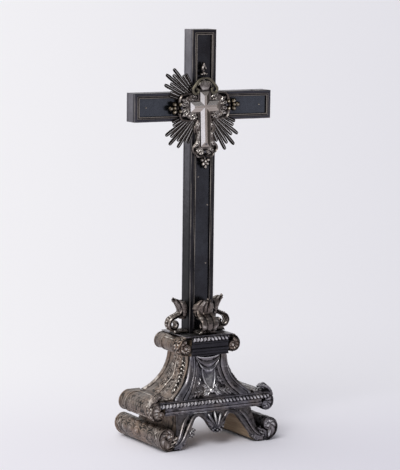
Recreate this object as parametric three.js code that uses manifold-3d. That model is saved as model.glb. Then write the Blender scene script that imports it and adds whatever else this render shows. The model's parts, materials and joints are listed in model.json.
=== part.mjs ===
// Altar reliquary cross: a wooden cross on a stepped scroll base, cased in embossed silver.
// Millimetres. The origin is on the floor under the middle of the base, +Z is up, -Y is the front.
import * as THREE from 'three';
import { mergeVertices } from 'three/addons/utils/BufferGeometryUtils.js';
import Module from 'manifold-3d';

const wasm = await Module();
wasm.setup();

// Fits and sheet
const clearance = 0.3;
const sheet = 1;
const scrollBand = 2.2;
const voluteInset = 2.4;

// Foot tier: two feet with a tunnel between them
const footTierHeight = 42.5;
const footTierDepth = 116.2;
const footEyeX = 73;
const footScrollRadius = 19.5;
const footScrollDecay = 0.5;
const stemHalfWidth = 53.5;
const legSweep = 4;
const tunnelHalfWidth = 47;
const tunnelFootHalfWidth = 57;
const tunnelKneeHeight = 10;
const tunnelCrownHalfWidth = 27;
const valanceThickness = 2.4;

// Middle tier: board with a scroll roll on each side
const midTierHeight = 17.5;
const midTierDepth = 88.1;
const midEyeX = 77;
const midScrollRadius = 18;
const midScrollDecay = 0.44;
const midLeafWidth = 17;
const midLeafLift = 5;
const midLeafSheet = 1.1;

// Concave body between the tiers
const bodyHeight = 52;
const bodyTopHalfWidth = 26;
const bodyTopHalfDepth = 25.5;
const bodyFootHalfWidth = 57;
const bodyFootHalfDepth = 40.5;
const bodyWaistHalfWidth = 28;
const bodyWaistHalfDepth = 27;
const bodyWaistHeight = 18;

// Cap tier under the cross
const capHeight = 24;
const capDepth = 65.7;
const capEyeX = 34.3;
const capEyeDrop = 13.4;
const capScrollRadius = 13;
const capScrollDecay = 0.62;

// Gadroon bands
const gadroonPitch = 5.1;
const gadroonHeight = 6.4;
const gadroonRelief = 2.2;
const gadroonLean = 0.45;
const midBandHalfLength = 79;
const capBandHalfLength = 23.5;

// Cross
const crossWidth = 34.1;
const crossDepth = 21.2;
const crossHeight = 382.4;
const armSpan = 197.2;
const armWidth = 35.7;
const armCentreHeight = 286.9;
const borderWidth = 6.8;
const borderRelief = 1.3;
const beadWidth = 1;
const beadRelief = 0.5;
const tenonWidth = 20;
const tenonDepth = 11;
const tenonLength = 46;
const pegRadius = 2.6;
const lapPlay = 0.2;

// Brackets at the foot of the cross
const bracketHeight = 45;
const bracketScrollRadius = 8.5;
const bracketScrollDecay = 0.62;
const bracketFootHeight = 4.4;
const sideBracketReach = 28;
const frontBracketReach = 24;
const sideBandWidth = 15;
const frontBandWidth = 19;
const bracketBandThickness = 5.4;
const sideLeafWidth = 19;
const frontLeafWidth = 29;

// Reliquary at the crossing
const reliquaryTilt = 1.8;
const reliquaryShift = -1.6;
const rayCount = 9;
const upperLeftFan = { middle: 141, spread: 42 };
const lowerLeftFan = { middle: -138, spread: 42 };
const lowerRightFan = { middle: -49, spread: 48 };
const rayLength = 69;
const rayShortest = 51;
const rayRoot = 17;
const rayWeb = 33;
const rayPlate = 0.9;
const rayHalfWidth = 2.5;
const rayRidge = 0.6;
const caseWidth = 41.8;
const caseTop = 18.7;
const caseFoot = 50.8;
const caseBarWidth = 13;
const caseTrayDepth = 2.2;
const caseCoverDepth = 2.4;
const sliverThickness = 0.6;
const caseWall = 1;
const caseBevel = 3.2;
const caseScrewRise = 3.6;
const frameRim = 2.8;
const framePlate = 1.4;
const frameSheet = 0.8;
const scrollRelief = 2.6;
const pinHead = 1.7;
const pinShank = 0.8;
const pinLength = 12;

// Leaf drops on the sides of the body
const garlandLeaves = 5;
const garlandPitch = 7.4;

// Levels and shared sizes that follow from the values above
const boardTop = footTierHeight + midTierHeight;
const bodyTop = boardTop + bodyHeight;
const capTop = bodyTop + capHeight;
const crossFoot = capTop + clearance + sheet + clearance;
const frontFace = -crossDepth / 2;
const borderFace = frontFace + beadRelief;
const borderBack = borderFace + sheet;
const panelFace = borderFace + borderRelief;
const panelBack = panelFace + sheet;
const coreFront = panelBack + clearance;
const backFace = crossDepth / 2;
const coreBack = backFace - sheet - clearance;
const lapPlane = (coreFront + coreBack) / 2;
const skinInset = sheet + clearance;
const armCentre = crossFoot + armCentreHeight;
const footInnerTurn = footEyeX - footScrollRadius * footScrollDecay ** 1.5;
const midEyeZ = boardTop + clearance + scrollBand - midScrollRadius;
const innerReach = (radius, decay) => {
  const turned = (radius - scrollBand / 2) * decay ** 1.5;
  return turned + scrollBand / 2 + 2 * clearance;
};
const boardHalfWidth = midEyeX - innerReach(midScrollRadius, midScrollDecay);
const boardHalfDepth = midTierDepth / 2 - sheet - clearance;
const capHalfWidth = capEyeX - innerReach(capScrollRadius, capScrollDecay);
const capHalfDepth = capDepth / 2 - sheet - clearance;
const capEyeZ = capTop - capEyeDrop;
const pegLevel = bodyTop - (tenonLength - capHeight) / 2;
const bodyWide = 2 * bodyFootHalfWidth;
const frontLean = Math.atan2((footTierDepth - midTierDepth) / 2, footTierHeight);
const valanceSeat = valanceThickness / Math.cos(frontLean) + 2 * clearance;

// Colours of the finishes
const finishes = {
  oak: { color: 0x8a7152, roughness: 0.85, metalness: 0 },
  tarnishedSilver: { color: 0x5d5a5c, roughness: 0.38, metalness: 0.9 },
  brownSilver: { color: 0x786b5c, roughness: 0.45, metalness: 0.8 },
  blackSilver: { color: 0x2b3036, roughness: 0.32, metalness: 0.85 },
  greySilver: { color: 0x6d6864, roughness: 0.42, metalness: 0.85 },
  brightSilver: { color: 0xdcd7d2, roughness: 0.22, metalness: 1 },
  giltPatina: { color: 0x7d7457, roughness: 0.4, metalness: 0.85 },
};

// Joining and cutting closed geometry
function toSolid(geometry) {
  const plain = new THREE.BufferGeometry();
  plain.setAttribute('position', geometry.getAttribute('position').clone());
  if (geometry.index) {
    plain.setIndex(geometry.index.clone());
  }
  const merged = mergeVertices(plain, 1e-4);
  const mesh = new wasm.Mesh({
    numProp: 3,
    vertProperties: new Float32Array(merged.getAttribute('position').array),
    triVerts: new Uint32Array(merged.index.array),
  });
  return new wasm.Manifold(mesh);
}

function toGeometry(solid) {
  const mesh = solid.getMesh();
  const geometry = new THREE.BufferGeometry();
  geometry.setAttribute('position', new THREE.BufferAttribute(new Float32Array(mesh.vertProperties), 3));
  geometry.setIndex(new THREE.BufferAttribute(new Uint32Array(mesh.triVerts), 1));
  return geometry;
}

function join(...pieces) {
  return toGeometry(pieces.map(toSolid).reduce((whole, piece) => whole.add(piece)));
}

function cut(body, ...tools) {
  return toGeometry(tools.map(toSolid).reduce((whole, tool) => whole.subtract(tool), toSolid(body)));
}

function keep(body, region) {
  return toGeometry(toSolid(body).intersect(toSolid(region)));
}

// Closed geometry with the faces turned outwards
function closedGeometry(positions, triangles) {
  let volume = 0;
  const corner = (i) => new THREE.Vector3().fromArray(positions, 3 * i);
  for (const [a, b, c] of triangles) {
    volume += corner(a).dot(corner(b).cross(corner(c)));
  }
  const turned = volume < 0 ? triangles.map(([a, b, c]) => [a, c, b]) : triangles;
  const geometry = new THREE.BufferGeometry();
  geometry.setAttribute('position', new THREE.Float32BufferAttribute(positions, 3));
  geometry.setIndex(turned.flat());
  return geometry;
}

function mirrored(geometry) {
  const source = geometry.index ? geometry : mergeVertices(geometry);
  const positions = Array.from(source.getAttribute('position').array, (v, i) => (i % 3 === 0 ? -v : v));
  const index = Array.from(source.index.array);
  const triangles = [];
  for (let i = 0; i < index.length; i += 3) {
    triangles.push([index[i], index[i + 1], index[i + 2]]);
  }
  return closedGeometry(positions, triangles);
}

// Skin through rings of points, closed by flat ends
function loft(rings, section) {
  const count = rings[0].length;
  const positions = rings.flat().flatMap((p) => [p.x, p.y, p.z]);
  const triangles = [];
  for (let i = 0; i < rings.length - 1; i += 1) {
    for (let j = 0; j < count; j += 1) {
      const a = i * count + j;
      const b = i * count + ((j + 1) % count);
      triangles.push([a, b, b + count], [a, b + count, a + count]);
    }
  }
  const flat = section.map(([u, v]) => new THREE.Vector2(u, v));
  const clockwise = THREE.ShapeUtils.isClockWise(flat);
  const last = (rings.length - 1) * count;
  for (const corners of THREE.ShapeUtils.triangulateShape(flat, [])) {
    const sameTurn = THREE.ShapeUtils.isClockWise(corners.map((k) => flat[k])) === clockwise;
    const [a, b, c] = sameTurn ? corners : corners.slice().reverse();
    triangles.push([c, b, a], [a + last, b + last, c + last]);
  }
  return closedGeometry(positions, triangles);
}

// Thin leaf over a grid, point(s, t) with s from -1 to 1 across and t from 0 to 1 along
function leafShell(columns, rows, point, thickness) {
  const front = [];
  const back = [];
  const step = 0.02;
  for (let j = 0; j <= rows; j += 1) {
    for (let i = 0; i <= columns; i += 1) {
      const s = -1 + (2 * i) / columns;
      const t = j / rows;
      const across = point(s + step, t).sub(point(s - step, t));
      const along = point(s, Math.min(1, t + step)).sub(point(s, Math.max(0, t - step)));
      const normal = across.cross(along).normalize().multiplyScalar(thickness / 2);
      front.push(point(s, t).add(normal));
      back.push(point(s, t).sub(normal));
    }
  }
  const positions = [...front, ...back].flatMap((p) => [p.x, p.y, p.z]);
  const triangles = [];
  const width = columns + 1;
  const half = front.length;
  for (let j = 0; j < rows; j += 1) {
    for (let i = 0; i < columns; i += 1) {
      const a = j * width + i;
      const quad = [a, a + 1, a + width + 1, a + width];
      triangles.push([quad[0], quad[1], quad[2]], [quad[0], quad[2], quad[3]]);
      triangles.push([quad[2] + half, quad[1] + half, quad[0] + half]);
      triangles.push([quad[3] + half, quad[2] + half, quad[0] + half]);
    }
  }
  const rim = [];
  for (let i = 0; i < columns; i += 1) {
    rim.push(i);
  }
  for (let j = 0; j < rows; j += 1) {
    rim.push(j * width + columns);
  }
  for (let i = columns; i > 0; i -= 1) {
    rim.push(rows * width + i);
  }
  for (let j = rows; j > 0; j -= 1) {
    rim.push(j * width);
  }
  rim.forEach((a, k) => {
    const b = rim[(k + 1) % rim.length];
    triangles.push([b, a, a + half], [b, a + half, b + half]);
  });
  return closedGeometry(positions, triangles);
}

function outline(points) {
  return new THREE.Shape(points.map(([x, y]) => new THREE.Vector2(x, y)));
}

// Prisms along each axis; the outline's first value is X, Y or X and its second is Z, Z or Y
function prismY(shape, from, to) {
  const solid = new THREE.ExtrudeGeometry(shape, { depth: to - from, bevelEnabled: false });
  return solid.rotateX(Math.PI / 2).translate(0, to, 0);
}

function prismX(shape, from, to) {
  const solid = new THREE.ExtrudeGeometry(shape, { depth: to - from, bevelEnabled: false });
  const turn = new THREE.Matrix4().makeBasis(
    new THREE.Vector3(0, 1, 0),
    new THREE.Vector3(0, 0, 1),
    new THREE.Vector3(1, 0, 0),
  );
  return solid.applyMatrix4(turn).translate(from, 0, 0);
}

function box(x0, x1, y0, y1, z0, z1) {
  const solid = new THREE.BoxGeometry(x1 - x0, y1 - y0, z1 - z0);
  return solid.translate((x0 + x1) / 2, (y0 + y1) / 2, (z0 + z1) / 2);
}

function rodY(x, z, radius, from, to, sides = 10) {
  return new THREE.CylinderGeometry(radius, radius, to - from, sides).translate(x, (from + to) / 2, z);
}

function blob(x, y, z, rx, ry, rz, around = 6, high = 3) {
  return new THREE.SphereGeometry(1, around, high).rotateX(Math.PI / 2).scale(rx, ry, rz).translate(x, y, z);
}

// Lines in a plane
function offsetLine(points, distance) {
  return points.map((p, i) => {
    const before = points[Math.max(0, i - 1)];
    const after = points[Math.min(points.length - 1, i + 1)];
    const dx = after[0] - before[0];
    const dy = after[1] - before[1];
    const size = Math.hypot(dx, dy);
    return [p[0] - (dy / size) * distance, p[1] + (dx / size) * distance];
  });
}

function bandOutline(points, thickness) {
  const left = offsetLine(points, thickness / 2);
  const right = offsetLine(points, -thickness / 2);
  return outline([...left, ...right.reverse()]);
}

function curvePoints(start, control, end, steps) {
  const curve = new THREE.QuadraticBezierCurve(
    new THREE.Vector2(...start),
    new THREE.Vector2(...control),
    new THREE.Vector2(...end),
  );
  return curve.getPoints(steps).map((p) => [p.x, p.y]);
}

function spiralPoints(eye, radius, startAngle, turn, decay, perTurn = 16) {
  const steps = Math.round((Math.abs(turn) / (2 * Math.PI)) * perTurn);
  const points = [];
  for (let i = 0; i <= steps; i += 1) {
    const swept = (turn * i) / steps;
    const r = radius * decay ** (Math.abs(swept) / Math.PI);
    const angle = startAngle + swept;
    points.push([eye[0] + r * Math.cos(angle), eye[1] + r * Math.sin(angle)]);
  }
  return points;
}

// Rib that follows a path over a surface(x, z, height); section(t) lists [across, height] pairs
function ribOver(surface, path, steps, section) {
  const stops = Array.isArray(steps) ? steps : Array.from({ length: steps + 1 }, (_, i) => i / steps);
  const rings = [];
  for (const t of stops) {
    const p = path.getPoint(t);
    const tangent = path.getTangent(t);
    rings.push(section(t).map(([u, h]) => surface(p.x - u * tangent.y, p.y + u * tangent.x, h)));
  }
  return loft(rings, section(0.5));
}

function pathThrough(points) {
  return new THREE.SplineCurve(points.map(([x, y]) => new THREE.Vector2(x, y)));
}

// Flat-topped ridge section, tapering towards both ends
function ridgeSection(width, relief, sink, ends = 0.35) {
  return (t) => {
    const taper = ends + (1 - ends) * Math.sin(Math.PI * t) ** 0.5;
    const w = (width / 2) * taper;
    return [[-w, -sink], [w, -sink], [0.4 * w, relief * taper], [-0.4 * w, relief * taper]];
  };
}

// Side scroll rolls, made for the right side: a rolled band with a volute face sunk in each end
function scrollRoll(lead, eye, radius, startAngle, turn, decay, depth) {
  const perTurn = 12;
  const spiral = spiralPoints(eye, radius - scrollBand / 2, startAngle, turn, decay, perTurn);
  const band = prismY(bandOutline([...lead, ...spiral], scrollBand), -depth / 2, depth / 2);
  const eyeRadius = 1.25 * scrollBand;
  const end = spiral[spiral.length - 1];
  const disc = outline(spiral.slice(0, perTurn + 1));
  const seat = depth / 2 - voluteInset;
  const faces = [prismY(disc, -seat, sheet - seat), prismY(disc, seat - sheet, seat)];
  return join(band, rodY(end[0], end[1], eyeRadius, -depth / 2, depth / 2, 8), ...faces);
}

function footLead() {
  const top = [stemHalfWidth, footTierHeight - clearance];
  const low = [stemHalfWidth + legSweep, scrollBand / 2];
  const foot = [footEyeX, scrollBand / 2];
  return curvePoints(top, low, foot, 7).slice(0, -1);
}

// The front and back of the foot tier lean outwards towards the floor
function footSlope(inset, overhang = 0) {
  const low = footTierDepth / 2 - inset;
  const high = midTierDepth / 2 - inset;
  const rise = overhang * Math.tan(frontLean);
  return outline([
    [-low - rise, -overhang],
    [low + rise, -overhang],
    [high, footTierHeight],
    [-high, footTierHeight],
  ]);
}

function footRoll() {
  const eye = [footEyeX, footScrollRadius];
  const turn = 3 * Math.PI;
  const start = -Math.PI / 2;
  const roll = scrollRoll(footLead(), eye, footScrollRadius, start, turn, footScrollDecay, footTierDepth);
  const stemEdge = footInnerTurn - clearance;
  const leaning = prismX(footSlope(valanceSeat, 1), 0, stemEdge);
  const outer = box(stemEdge - clearance, 2 * footEyeX, -footTierDepth, footTierDepth, -1, footTierHeight);
  return keep(roll, join(leaning, outer));
}

function footBlock() {
  const face = offsetLine(footLead(), -(scrollBand / 2 + clearance)).filter((p) => p[1] > clearance);
  const toe = face[face.length - 1];
  const top = footTierHeight - clearance;
  const knee = [tunnelHalfWidth, tunnelKneeHeight];
  const ankle = curvePoints([tunnelFootHalfWidth, 0], [tunnelHalfWidth, 0.3 * tunnelKneeHeight], knee, 4);
  const crown = curvePoints(knee, [tunnelHalfWidth - 2, 0.8 * top], [tunnelCrownHalfWidth, top], 7);
  const arch = [...ankle, ...crown.slice(1)];
  const section = outline([[face[0][0], top], ...face.slice(1), [toe[0], 0], ...arch]);
  const block = prismY(section, -footTierDepth / 2, footTierDepth / 2);
  return keep(block, prismX(footSlope(valanceSeat, 1), 0, 2 * footEyeX));
}

// Pierced front apron of the foot tier, in its own leaning plane
function frontValance() {
  const low = valanceThickness * Math.tan(frontLean) + clearance;
  const top = (footTierHeight - clearance) / Math.cos(frontLean);
  const crown = top - 4;
  const half = new THREE.Shape();
  const toe = footInnerTurn - 4 * clearance;
  const flank = offsetLine(footLead(), scrollBand / 2).map(([x, z]) => [x, z / Math.cos(frontLean)]);
  half.moveTo(0, 0.4 * top);
  half.quadraticCurveTo(9, 0.42 * top, 12.5, 0.7 * top);
  half.quadraticCurveTo(14.5, crown, 22, crown);
  half.bezierCurveTo(31, crown, 35, 0.66 * top, tunnelHalfWidth - 3, 1.6 * tunnelKneeHeight);
  half.quadraticCurveTo(tunnelHalfWidth + 3, 0.5 * tunnelKneeHeight, tunnelFootHalfWidth, low);
  half.lineTo(toe, low);
  for (const [x, z] of flank.filter((p) => p[0] < toe).reverse()) {
    half.lineTo(x, Math.min(z, top));
  }
  half.lineTo(0, top);
  const points = half.getPoints(6).map((p) => [p.x, p.y]);
  const left = points.slice(1, -1).reverse().map(([x, y]) => [-x, y]);
  const plate = prismY(outline([...points, ...left]), 0, valanceThickness);
  const face = (x, z, h) => new THREE.Vector3(x, -h, z);
  const ribs = [];
  for (const side of [-1, 1]) {
    const inner = pathThrough([
      [side * 13.6, 0.7 * top],
      [side * 16.5, crown - 1],
      [side * 23, crown + 1.4],
      [side * 32, 0.84 * top],
      [side * 40, 0.58 * top],
      [side * 47.5, 0.34 * top],
      [side * 55, 0.16 * top],
      [side * 63, 0.07 * top],
    ]);
    ribs.push(ribOver(face, inner, 7, ridgeSection(2.8, 1.9, 0.8)));
    const outer = pathThrough([
      [side * 37, top - 2],
      [side * 46, 0.7 * top],
      [side * 51, 0.42 * top],
      [side * 60, 0.16 * top],
    ]);
    ribs.push(ribOver(face, outer, 5, ridgeSection(3.2, 2, 0.8)));
    ribs.push(blob(side * 11, -0.6, 0.64 * top, 3, 1.9, 3));
  }
  ribs.push(blob(-36, -0.8, 0.52 * top, 6.5, 2, 4, 8));
  const fluteFoot = 0.46 * top;
  for (let i = -3; i <= 3; i += 1) {
    const reach = top - 1.2 - 0.9 * Math.abs(i);
    const lean = 3.6 * i;
    const flute = pathThrough([[0.9 * i, fluteFoot], [0.55 * lean, 0.74 * top], [lean, reach]]);
    ribs.push(ribOver(face, flute, 2, ridgeSection(3.6, 2.6, 0.8, 0.55)));
  }
  ribs.push(blob(0, -1, 0.43 * top, 6, 2.4, 2.6, 8));
  return join(plate, ...ribs);
}

function placeValance(mesh) {
  mesh.rotation.x = -frontLean;
  mesh.position.y = -footTierDepth / 2 + clearance;
  return mesh;
}

// Middle tier
function midRoll() {
  const top = midEyeZ + midScrollRadius - scrollBand / 2;
  const inner = [bodyFootHalfWidth + clearance + scrollBand, top];
  const lead = [inner, [midEyeX - 4, top]];
  const eye = [midEyeX, midEyeZ];
  return scrollRoll(lead, eye, midScrollRadius, Math.PI / 2, -2.6 * Math.PI, midScrollDecay, midTierDepth);
}

function baseBoard() {
  return box(-boardHalfWidth, boardHalfWidth, -boardHalfDepth, boardHalfDepth, footTierHeight, boardTop);
}

// Moulded strip with fillets, section in Y and Z
function mouldedStrip(halfLength, back, low, high) {
  const rise = high - low;
  const front = back - sheet;
  const section = outline([
    [back, low],
    [back, high],
    [front - 1.2, high],
    [front - 1.2, high - 0.1 * rise],
    [front + 0.2, high - 0.16 * rise],
    [front + 0.2, high - 0.42 * rise],
    [front - 1.4, high - 0.5 * rise],
    [front - 1.4, high - 0.66 * rise],
    [front, high - 0.72 * rise],
    [front, low + 0.12 * rise],
    [front - 0.9, low + 0.06 * rise],
    [front - 0.9, low],
  ]);
  return prismX(section, -halfLength, halfLength);
}

// Band of slanting lobes whose lean changes over in the middle, on a plate that hides the wood behind
function gadroonBand(halfLength, plateHalf, back, centreZ, plateTop) {
  const count = 2 * Math.floor(halfLength / gadroonPitch);
  const rise = gadroonHeight / 2;
  const pieces = [box(-plateHalf, plateHalf, back - sheet, back, centreZ - rise, plateTop)];
  for (let i = 0; i < count; i += 1) {
    const x = (i - (count - 1) / 2) * gadroonPitch;
    const lobe = new THREE.SphereGeometry(1, 4, 3).scale(0.46 * gadroonPitch, gadroonRelief, rise);
    pieces.push(lobe.rotateY(-Math.sign(x) * gadroonLean).translate(x, back - sheet, centreZ));
  }
  const front = box(-bodyWide, bodyWide, back - bodyWide, back, 0, crossFoot);
  return keep(join(...pieces), front);
}

// Concave body
function bodyLine(topHalf, waistHalf, footHalf) {
  const waist = [waistHalf, boardTop + bodyWaistHeight];
  return curvePoints([topHalf, bodyTop], waist, [footHalf, boardTop], 8);
}

const sideLine = bodyLine(bodyTopHalfWidth, bodyWaistHalfWidth, bodyFootHalfWidth);
const frontLine = bodyLine(bodyTopHalfDepth, bodyWaistHalfDepth, bodyFootHalfDepth);

// A falling line run on past both ends, then clipped between two levels
function clippedLine(points, low, high) {
  const [first, second] = points;
  const [previous, last] = points.slice(-2);
  const beyond = (from, to) => [2 * to[0] - from[0], 2 * to[1] - from[1]];
  const full = [beyond(second, first), ...points, beyond(previous, last)];
  const at = (z) => {
    const i = full.findIndex((p) => p[1] <= z);
    const [x0, z0] = full[i - 1];
    const [x1, z1] = full[i];
    return [x0 + ((x1 - x0) * (z0 - z)) / (z0 - z1), z];
  };
  return [at(high), ...full.filter((p) => p[1] < high - clearance && p[1] > low + clearance), at(low)];
}

function bodyOutline(line, distance) {
  const edge = clippedLine(offsetLine(line, distance), boardTop + clearance, bodyTop - clearance);
  return outline([...edge, ...edge.map(([x, z]) => [-x, z]).reverse()]);
}

const bodyAcross = (distance) => prismY(bodyOutline(sideLine, distance), -bodyWide, bodyWide);
const bodyAlong = (distance) => prismX(bodyOutline(frontLine, distance), -bodyWide, bodyWide);

// Square hole for the tenon between two levels
function mortise(low, high) {
  const halfWidth = tenonWidth / 2 + clearance;
  const halfDepth = tenonDepth / 2 + clearance;
  return box(-halfWidth, halfWidth, -halfDepth, halfDepth, low, high);
}

function bodyCore() {
  const pegHole = rodY(0, pegLevel, pegRadius + clearance, -tenonDepth, 2 * bodyFootHalfDepth, 12);
  return cut(keep(bodyAcross(0), bodyAlong(0)), mortise(capTop - tenonLength, bodyTop + 1), pegHole);
}

function tenonPeg() {
  return rodY(0, pegLevel, pegRadius, -tenonDepth / 2 - clearance, bodyTopHalfDepth - clearance, 12);
}

// Distance of a falling line from the middle at a height
function reachAt(line, z) {
  const i = line.findIndex((p) => p[1] <= z);
  if (i < 1) {
    return (i === 0 ? line[0] : line[line.length - 1])[0];
  }
  const [x0, z0] = line[i - 1];
  const [x1, z1] = line[i];
  return x0 + ((x1 - x0) * (z0 - z)) / (z0 - z1);
}

const frontReach = (z) => reachAt(offsetLine(frontLine, skinInset), z);
const sideReach = (z) => reachAt(offsetLine(sideLine, skinInset), z);
const onFront = (x, z, h) => new THREE.Vector3(x, -frontReach(z) - h, z);

// Front of the body: corner straps, a drapery swag, a hanging tongue and a leaf spray in one sheet
function bodyFrontPanel() {
  const skin = cut(keep(bodyAcross(clearance + sheet), bodyAlong(clearance + sheet)), bodyAlong(clearance));
  const frontHalf = box(-bodyWide, bodyWide, -bodyWide, 0, 0, capTop);
  const pieces = [keep(skin, frontHalf)];
  const low = boardTop + 2.5;
  const high = bodyTop - 1.5;
  for (const side of [-1, 1]) {
    const levels = [high, high - 12, high - 24, high - 34, high - 42, low];
    const strap = pathThrough(levels.map((z) => [side * (sideReach(z) - 5.2), z]));
    const grooved = (t) => {
      const w = 4.6 - 0.8 * Math.sin(Math.PI * t);
      return [[-w, -0.7], [w, -0.7], [0.85 * w, 2.4], [0.4 * w, 1], [-0.4 * w, 1], [-0.85 * w, 2.4]];
    };
    pieces.push(ribOver(onFront, strap, 6, grooved));
  }
  const swagTop = high - 1;
  const swagDrop = 26;
  const swagHalf = bodyTopHalfWidth - 9;
  const swag = (t) => {
    const drop = 2 + swagDrop * Math.sin(Math.PI * t) ** 0.7;
    const front = [[0, 1.2], [0.3 * drop, 2.2], [0.55 * drop, 1.4], [0.8 * drop, 3], [drop, 2]];
    const back = [1.02, 0.78, 0.52, 0.26, 0].map((share) => [share * drop, -0.7]);
    return [...front, ...back];
  };
  const rail = pathThrough([[swagHalf, swagTop], [0, swagTop], [-swagHalf, swagTop]]);
  pieces.push(ribOver(onFront, rail, 6, swag));
  const tongueTop = swagTop - swagDrop + 1;
  const tongue = pathThrough([[0, tongueTop], [0, tongueTop - 10], [0, tongueTop - 19]]);
  const rounded = (t) => {
    const w = 9.5 * Math.sqrt(Math.max(0.06, 1 - t ** 3));
    return [[-w, -0.7], [w, -0.7], [w, 0.8], [0.5 * w, 1.9], [-0.5 * w, 1.9], [-w, 0.8]];
  };
  pieces.push(ribOver(onFront, tongue, 4, rounded));
  for (let i = -2; i <= 2; i += 1) {
    const leaf = pathThrough([
      [1.1 * i, low + 1],
      [3.6 * i, low + 8 - Math.abs(i)],
      [7.6 * i, low + 14.5 - 3.2 * Math.abs(i)],
    ]);
    pieces.push(ribOver(onFront, leaf, 2, ridgeSection(4.2, 2.2, 0.5, 0.25)));
  }
  const above = box(-bodyWide, bodyWide, -bodyWide, bodyWide, boardTop + clearance, bodyTop - clearance);
  return cut(keep(join(...pieces), above), bodyAlong(clearance));
}

function bodySidePanel() {
  const skin = cut(keep(bodyAcross(clearance + sheet), bodyAlong(0)), bodyAcross(clearance));
  return keep(skin, box(0, bodyWide, -bodyWide, bodyWide, 0, capTop));
}

function bodyBackPanel() {
  const skin = cut(keep(bodyAcross(clearance + sheet), bodyAlong(clearance + sheet)), bodyAlong(clearance));
  return keep(skin, box(-bodyWide, bodyWide, 0, bodyWide, 0, capTop));
}

// Leaf and berry drop that hangs down the front edge of each side
function sideGarland() {
  const onSide = (y, z, h) => new THREE.Vector3(sideReach(z) + clearance + h, y, z);
  const levels = [4, 14, 24, 34, 42].map((drop) => bodyTop - drop);
  const stem = pathThrough(levels.map((z) => [8 - frontReach(z), z]));
  const pieces = [ribOver(onSide, stem, 4, (t) => {
    const w = 2.4 - 1.2 * t;
    return [[-w, 0], [w, 0], [0, 1.8]];
  })];
  for (let i = 0; i < garlandLeaves; i += 1) {
    const swing = i % 2 ? 1 : -1;
    const z = bodyTop - 9 - i * garlandPitch;
    const y = 8 - frontReach(z);
    const size = 3.4 + 1.4 * Math.sin((Math.PI * (i + 1)) / (garlandLeaves + 1));
    const spine = [[y - swing, z + 0.6 * size], [y + swing, z - 0.3 * size], [y + 2 * swing, z - size]];
    pieces.push(ribOver(onSide, pathThrough(spine), 2, (t) => {
      const w = size * (0.25 + 0.75 * Math.sin(Math.PI * (0.2 + 0.75 * t)));
      return [[-w, 0], [w, 0], [0, 2.6]];
    }));
  }
  return join(...pieces);
}

// Cap tier
function capRoll() {
  const top = capEyeZ + capScrollRadius - scrollBand / 2;
  const lead = [[capHalfWidth + clearance, top]];
  const eye = [capEyeX, capEyeZ];
  return scrollRoll(lead, eye, capScrollRadius, Math.PI / 2, -2.7 * Math.PI, capScrollDecay, capDepth);
}

function capCore() {
  const block = box(-capHalfWidth, capHalfWidth, -capHalfDepth, capHalfDepth, bodyTop, capTop);
  return cut(block, mortise(bodyTop - 1, capTop + 1));
}

function capPlate() {
  const low = capTop + clearance;
  const reach = capEyeX - clearance;
  const plate = box(-reach, reach, -capHalfDepth, capHalfDepth, low, low + sheet);
  return cut(plate, mortise(low - 1, low + sheet + 1));
}

// Outline of the cross, drawn inwards by inset; the foot keeps its level unless footInset says otherwise
function crossPoints(inset, footInset = 0) {
  const w = crossWidth / 2 - inset;
  const a = armSpan / 2 - inset;
  const low = armCentre - armWidth / 2 + inset;
  const high = armCentre + armWidth / 2 - inset;
  const top = crossFoot + crossHeight - inset;
  const foot = crossFoot + footInset;
  return [[w, foot], [w, low], [a, low], [a, high], [w, high], [w, top],
    [-w, top], [-w, high], [-a, high], [-a, low], [-w, low], [-w, foot]];
}

function crossRing(outer, inner, from, to) {
  const shape = outline(crossPoints(outer, outer));
  shape.holes.push(new THREE.Path(crossPoints(inner, inner).map(([x, z]) => new THREE.Vector2(x, z))));
  return prismY(shape, from, to);
}

function crossSideBand() {
  const outer = crossPoints(0);
  const inner = crossPoints(sheet).reverse();
  return prismY(outline([...outer, ...inner]), panelFace, coreBack);
}

function crossBorder() {
  const flat = crossRing(0, borderWidth, borderFace, borderBack);
  const beadInset = borderWidth - 2.2 * beadWidth;
  const bead = crossRing(beadInset, beadInset + beadWidth, frontFace, borderBack - sheet / 2);
  const line = crossRing(1.2, 1.2 + beadWidth / 2, frontFace, borderBack - sheet / 2);
  return join(flat, bead, line);
}

function crossPanel(holes) {
  const sheetFront = panelFace + clearance;
  return cut(prismY(outline(crossPoints(skinInset)), sheetFront, sheetFront + sheet), ...holes);
}

function crossBackPlate() {
  return prismY(outline(crossPoints(0)), coreBack + clearance, backFace);
}

function crossUpright(holes) {
  const w = crossWidth / 2 - skinInset;
  const top = crossFoot + crossHeight - skinInset;
  const post = box(-w, w, coreFront + clearance, coreBack, crossFoot, top);
  const tenon = box(
    -tenonWidth / 2,
    tenonWidth / 2,
    -tenonDepth / 2,
    tenonDepth / 2,
    capTop - tenonLength + clearance,
    crossFoot + 1,
  );
  const lapHalf = armWidth / 2 - skinInset + lapPlay;
  const lap = box(-w - 1, w + 1, coreFront - 1, lapPlane, armCentre - lapHalf, armCentre + lapHalf);
  const pegHole = rodY(0, pegLevel, pegRadius + clearance, -tenonDepth, tenonDepth, 12);
  return cut(join(post, tenon), lap, pegHole, ...holes);
}

function crossArm(holes) {
  const reach = armSpan / 2 - skinInset;
  const half = armWidth / 2 - skinInset;
  const bar = box(-reach, reach, coreFront + clearance, coreBack, armCentre - half, armCentre + half);
  const lapHalf = crossWidth / 2 - skinInset + lapPlay;
  const high = armCentre + armWidth;
  const lap = box(-lapHalf, lapHalf, lapPlane - lapPlay, coreBack + 1, high - 2 * armWidth, high);
  return cut(bar, lap, ...holes);
}

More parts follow.
